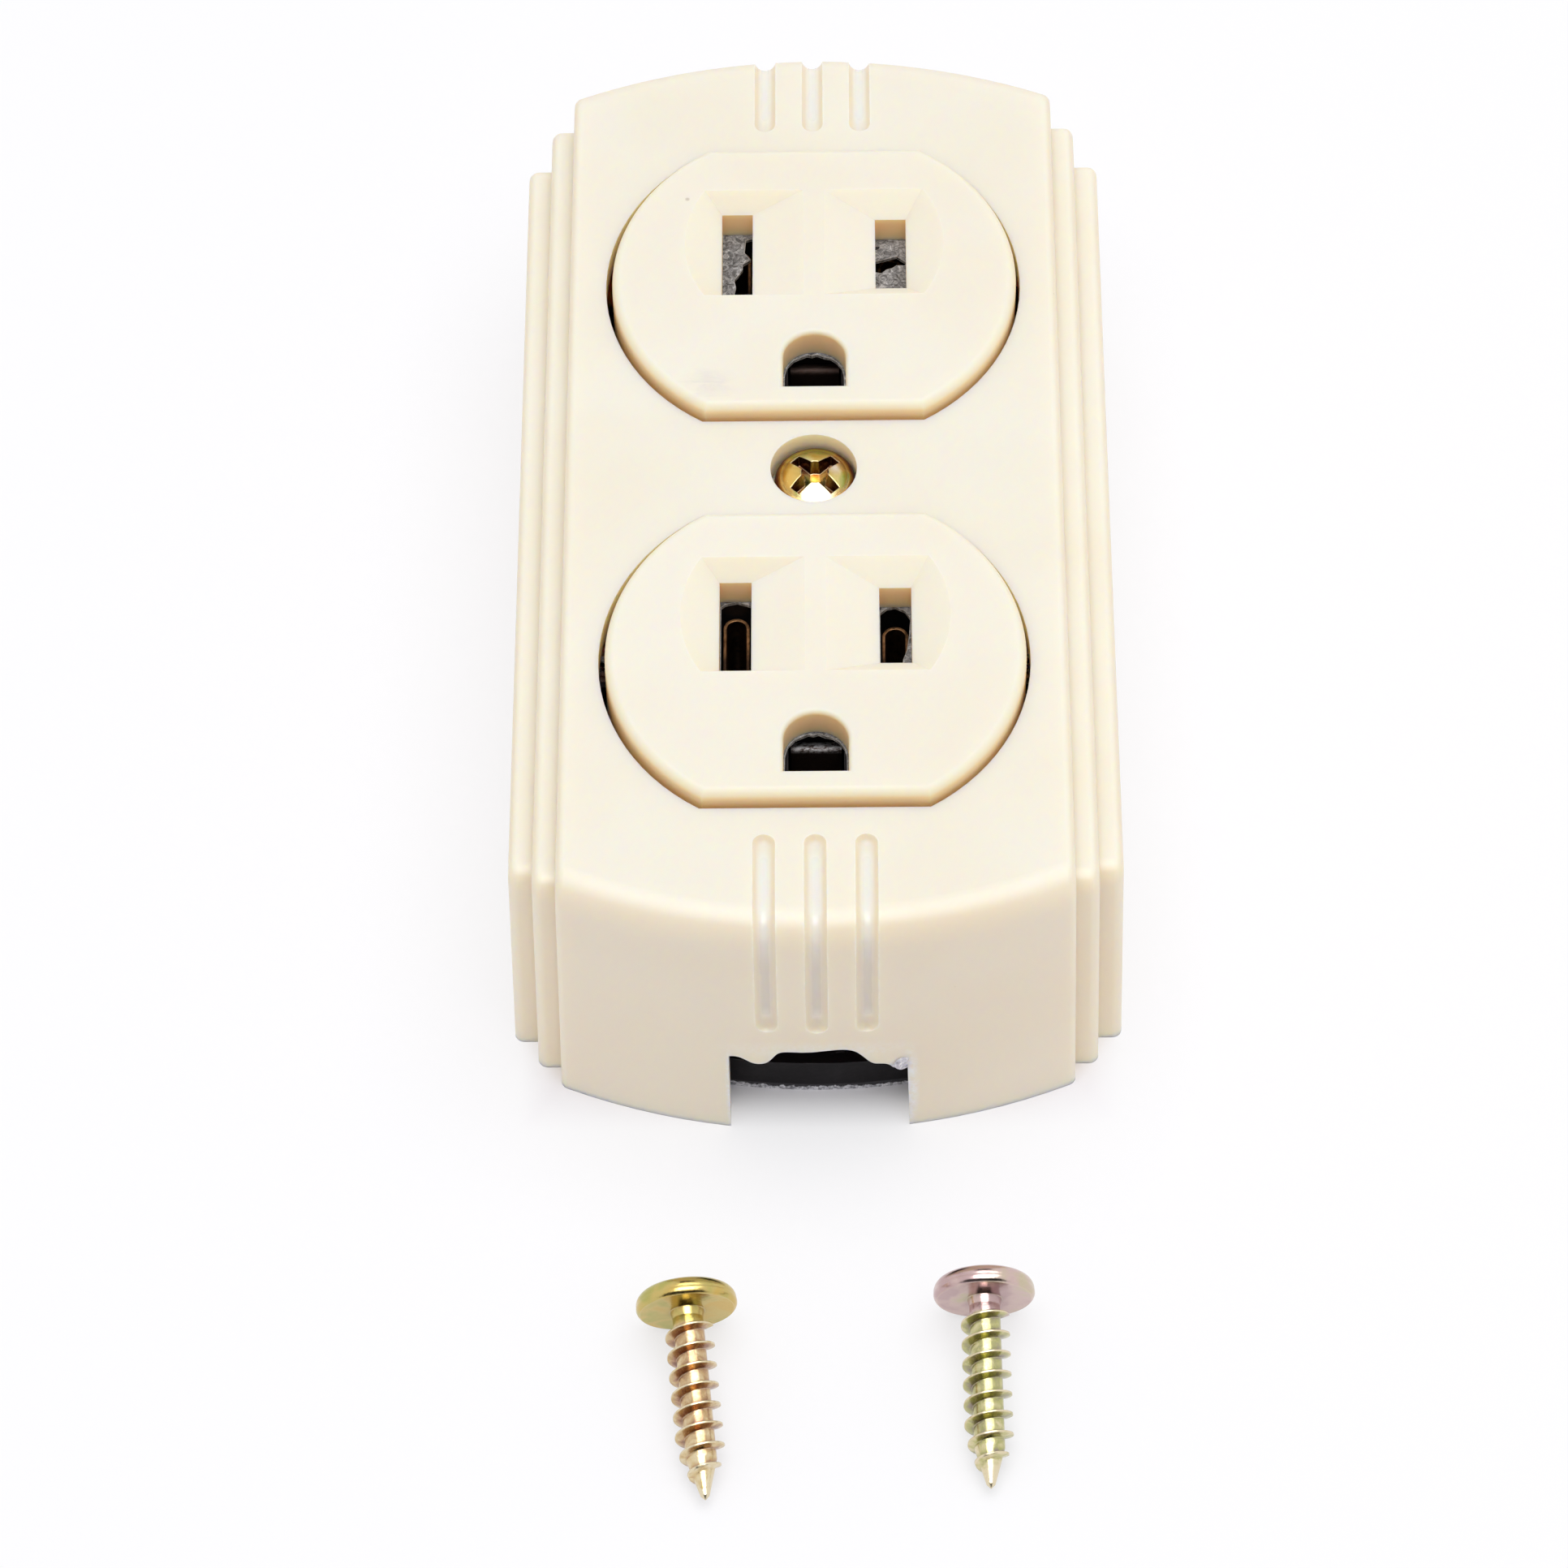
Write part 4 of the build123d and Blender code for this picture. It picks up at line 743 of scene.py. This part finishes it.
class OUTLET_OT_contacts(bpy.types.Operator):
    """Give the sprung contacts, their bars, strap and rivets their metals"""

    bl_idname = "outlet.contacts"
    bl_label = "Contacts"

    def execute(self, context):
        metal = context.scene.outlet_metal
        copper = worn_contact(metal, "sprung_copper", tuple(metal.copper))
        brass = bare_metal(metal, "stamped_brass", tuple(metal.brass), (0.46, 0.31, 0.13), 0.32)
        tinned = bare_metal(metal, "tinned_brass", tuple(metal.plated), (0.40, 0.39, 0.37), 0.36)
        dress(copper, *(f"{kind}_contact_{row}" for kind in ("neutral", "hot")
                        for row in ("upper", "lower")))
        # Share of the painted highlight on each row's pin contact.
        for row, share in (("upper", 0.02), ("lower", 0.45)):
            dress(scraped_contact_painted_highlight(metal, f"scraped_{row}", tuple(metal.plated), share),
                  f"ground_contact_{row}")
        dress(brass, "hot_bar", "ground_strap", "contact_rivets", "cover_nut")
        dress(tinned, "neutral_bar")
        return {"FINISHED"}


class OUTLET_OT_terminals(bpy.types.Operator):
    """Give the terminal screws and their clamps the plating that tells them apart"""

    bl_idname = "outlet.terminals"
    bl_label = "Terminals"

    def execute(self, context):
        metal = context.scene.outlet_metal
        plated = bare_metal(metal, "bright_zinc", tuple(metal.plated), (0.42, 0.42, 0.43), 0.26)
        brassy = bare_metal(metal, "brass_plating", tuple(metal.brass), (0.50, 0.36, 0.16), 0.24)
        green = bare_metal(metal, "green_chromate", tuple(metal.green), (0.07, 0.20, 0.10), 0.27)
        dress(plated, "assembly_screws", "neutral_upper_terminal_screw",
              "neutral_lower_terminal_screw", *(f"{name}_clamp" for name in TERMINALS))
        dress(brassy, "hot_upper_terminal_screw", "hot_lower_terminal_screw")
        dress(green, "ground_terminal_screw")
        return {"FINISHED"}


class OUTLET_OT_zinc_screws(bpy.types.Operator):
    """Give the cover screw and the two loose mounting screws their yellow zinc"""

    bl_idname = "outlet.zinc_screws"
    bl_label = "Zinc Screws"

    def execute(self, context):
        metal = context.scene.outlet_metal
        gold, pale = tuple(metal.zinc_gold), tuple(metal.zinc_painted_highlight)
        green, rose = tuple(metal.zinc_green), tuple(metal.zinc_rose)
        mauve, root = tuple(metal.zinc_mauve), tuple(metal.zinc_painted_root_shade)
        olive = tuple(metal.zinc_painted_olive_shade)
        dress(lobed_zinc(metal, "gold_zinc", root), "cover_screw")
        for side, name, thread_tones, head_tones in (
                ("left", "rosy_zinc", (root, (0.26, 0.11, 0.06), rose, gold, pale),
                 ((0.46, 0.42, 0.13), (0.58, 0.45, 0.16), gold)),
                ("right", "green_zinc", (olive, mauve, green, (0.50, 0.48, 0.18), pale),
                 ((0.52, 0.37, 0.37), (0.62, 0.47, 0.44), (0.58, 0.50, 0.36))),
        ):
            screw = f"mounting_screw_{side}"
            head_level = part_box(screw)[1][1] - HEAD_REACH
            dress(threaded_zinc(metal, name, thread_tones, head_level, head_tones), screw)
        return {"FINISHED"}


class OUTLET_OT_stage(bpy.types.Operator):
    """Set the pale table, the soft light and the camera"""

    bl_idname = "outlet.stage"
    bl_label = "Stage"

    def execute(self, context):
        scene = context.scene
        stage = scene.outlet_stage
        self.table(scene, stage)
        self.dark_cards(scene)
        self.sky(scene, stage)
        self.lamps(scene, stage)
        self.camera(scene, stage)
        scene.view_settings.view_transform = "Standard"
        return {"FINISHED"}

    def table(self, scene, stage):
        """Wide flat table that shows as white and keeps the outlet's shadow."""
        finish = Finish("pale_table")
        seen = self.white_where_seen(finish)
        card = finish.lay("BsdfDiffuse", {"Color": (*stage.floor, 1.0)})
        white = finish.lay("Emission", {"Color": (*WHITE, 1.0), "Strength": 1.0})
        across, along, _ = finish.axes(finish.place())
        # Close around the outlet and in its entry the floor keeps its own shade.
        beside = finish.larger(
            finish.span(finish.away(across), 21 * MM, 24 * MM, 0.0, 1.0),
            finish.span(finish.away(along), 42.0 * MM, 46.2 * MM, 0.0, 1.0))
        share = finish.times(seen, finish.times(beside, stage.floor_white))
        both = finish.lay("MixShader", {0: share, 1: card.outputs[0], 2: white.outputs[0]})
        finish.lay("OutputMaterial", {"Surface": both.outputs[0]})
        self.flat_piece(scene, "table", 3.0, 3.0, finish.holder)

    def flat_piece(self, scene, name, width, painted_shade_depth, material):
        """Flat rectangle of the stage, in metres, in the level plane."""
        mesh = bpy.data.meshes.new(name)
        shape = bmesh.new()
        bmesh.ops.create_grid(shape, x_segments=12, y_segments=12, size=0.5,
                              matrix=Matrix.Diagonal((width, painted_shade_depth, 1, 1)))
        shape.to_mesh(mesh)
        shape.free()
        mesh.materials.append(material)
        piece = bpy.data.objects.new(name, mesh)
        scene.collection.objects.link(piece)
        return piece

    def dark_cards(self, scene):
        """Dark cards beyond and in front of the outlet that only polished surfaces mirror."""
        finish = Finish("dark_card")
        grey = finish.lay("BsdfDiffuse", {"Color": (0.02, 0.02, 0.022, 1.0)})
        finish.lay("OutputMaterial", {"Surface": grey.outputs[0]})
        for name, place, width, height in (
                ("dark_card_far", (0.0, 0.40, 0.50), 0.34, 0.34),
                ("dark_card_near", (0.0, -0.70, 0.33), 1.2, 0.62),
        ):
            card = self.flat_piece(scene, name, width, height, finish.holder)
            card.location = place
            card.rotation_euler = card.location.to_track_quat("Z", "Y").to_euler()
            card.visible_camera = card.visible_diffuse = card.visible_shadow = False
            card.visible_transmission = card.visible_volume_scatter = False

    def white_where_seen(self, finish):
        """1 for rays from the camera, from mirrors and through glass."""
        rays = finish.lay("LightPath")
        either = finish.lay("Math", {0: rays.outputs["Is Camera Ray"],
                                     1: rays.outputs["Is Glossy Ray"]}, operation="MAXIMUM")
        return finish.lay("Math", {0: either.outputs[0], 1: rays.outputs["Is Transmission Ray"]},
                          operation="MAXIMUM").outputs[0]

    def sky(self, scene, stage):
        """Even light from all round, white where it is seen."""
        finish = Finish("studio", of_world=True)
        seen = self.white_where_seen(finish)
        light = finish.lay("Background", {"Color": (*WHITE, 1.0), "Strength": stage.sky})
        white = finish.lay("Background", {"Color": (*WHITE, 1.0), "Strength": 1.0})
        both = finish.lay("MixShader", {0: seen, 1: light.outputs[0], 2: white.outputs[0]})
        finish.lay("OutputWorld", {"Surface": both.outputs[0]})
        scene.world = finish.holder

    def lamps(self, scene, stage):
        """One large soft lamp overhead, and one that only gleams in glossy surfaces."""
        for name, size, power, place, lights in (
                ("overhead", 0.7, stage.overhead_power, (0.07, -0.02, 0.75), True),
                ("gleam", 0.5, stage.gleam_power, (0.0, -0.21, 0.68), False),
        ):
            data = bpy.data.lights.new(name, "AREA")
            data.shape = "SQUARE"
            data.size = size
            data.energy = power
            lamp = bpy.data.objects.new(name, data)
            lamp.location = place
            lamp.rotation_euler = Vector(place).to_track_quat("Z", "Y").to_euler()
            lamp.visible_diffuse = lights
            scene.collection.objects.link(lamp)

    def camera(self, scene, stage):
        """Camera that looks down on the outlet from its near end."""
        data = bpy.data.cameras.new("camera")
        data.lens = stage.lens
        data.sensor_width = 36
        data.shift_y = stage.rise
        data.clip_start = 0.01
        data.clip_end = 20
        camera = bpy.data.objects.new("camera", data)
        tilt, roll, heading = stage.turn
        camera.matrix_world = (Matrix.Translation(stage.stand) @ Matrix.Rotation(heading, 4, "Z")
                               @ Matrix.Rotation(tilt, 4, "X") @ Matrix.Rotation(roll, 4, "Z"))
        scene.collection.objects.link(camera)
        scene.camera = camera


class OUTLET_PT_sidebar(bpy.types.Panel):
    """Outlet finishes and stage"""

    bl_idname = "OUTLET_PT_sidebar"
    bl_label = "Duplex Outlet"
    bl_space_type = "VIEW_3D"
    bl_region_type = "UI"
    bl_category = "Outlet"

    def draw(self, context):
        column = self.layout.column(align=True)
        for operator in OPERATORS:
            column.operator(operator.bl_idname)
        for settings in (context.scene.outlet_moulding, context.scene.outlet_metal,
                         context.scene.outlet_stage):
            box = self.layout.box()
            for key in settings.__annotations__:
                box.prop(settings, key)


# ---------------------------------------------------------------------------
# Registration

SETTINGS = {
    "outlet_moulding": OutletMoulding,
    "outlet_metal": OutletMetal,
    "outlet_stage": OutletStage,
}
OPERATORS = (
    OUTLET_OT_ivory_parts,
    OUTLET_OT_torn_entry,
    OUTLET_OT_black_base,
    OUTLET_OT_liners,
    OUTLET_OT_contacts,
    OUTLET_OT_terminals,
    OUTLET_OT_zinc_screws,
    OUTLET_OT_stage,
)
CLASSES = (*SETTINGS.values(), *OPERATORS, OUTLET_PT_sidebar)


def register():
    for cls in CLASSES:
        bpy.utils.register_class(cls)
    for name, cls in SETTINGS.items():
        setattr(bpy.types.Scene, name, PointerProperty(type=cls))


def unregister():
    for name in SETTINGS:
        delattr(bpy.types.Scene, name)
    for cls in reversed(CLASSES):
        bpy.utils.unregister_class(cls)


def main():
    register()
    for operator in OPERATORS:
        area, action = operator.bl_idname.split(".")
        getattr(getattr(bpy.ops, area), action)()


if __name__ == "__main__":
    main()
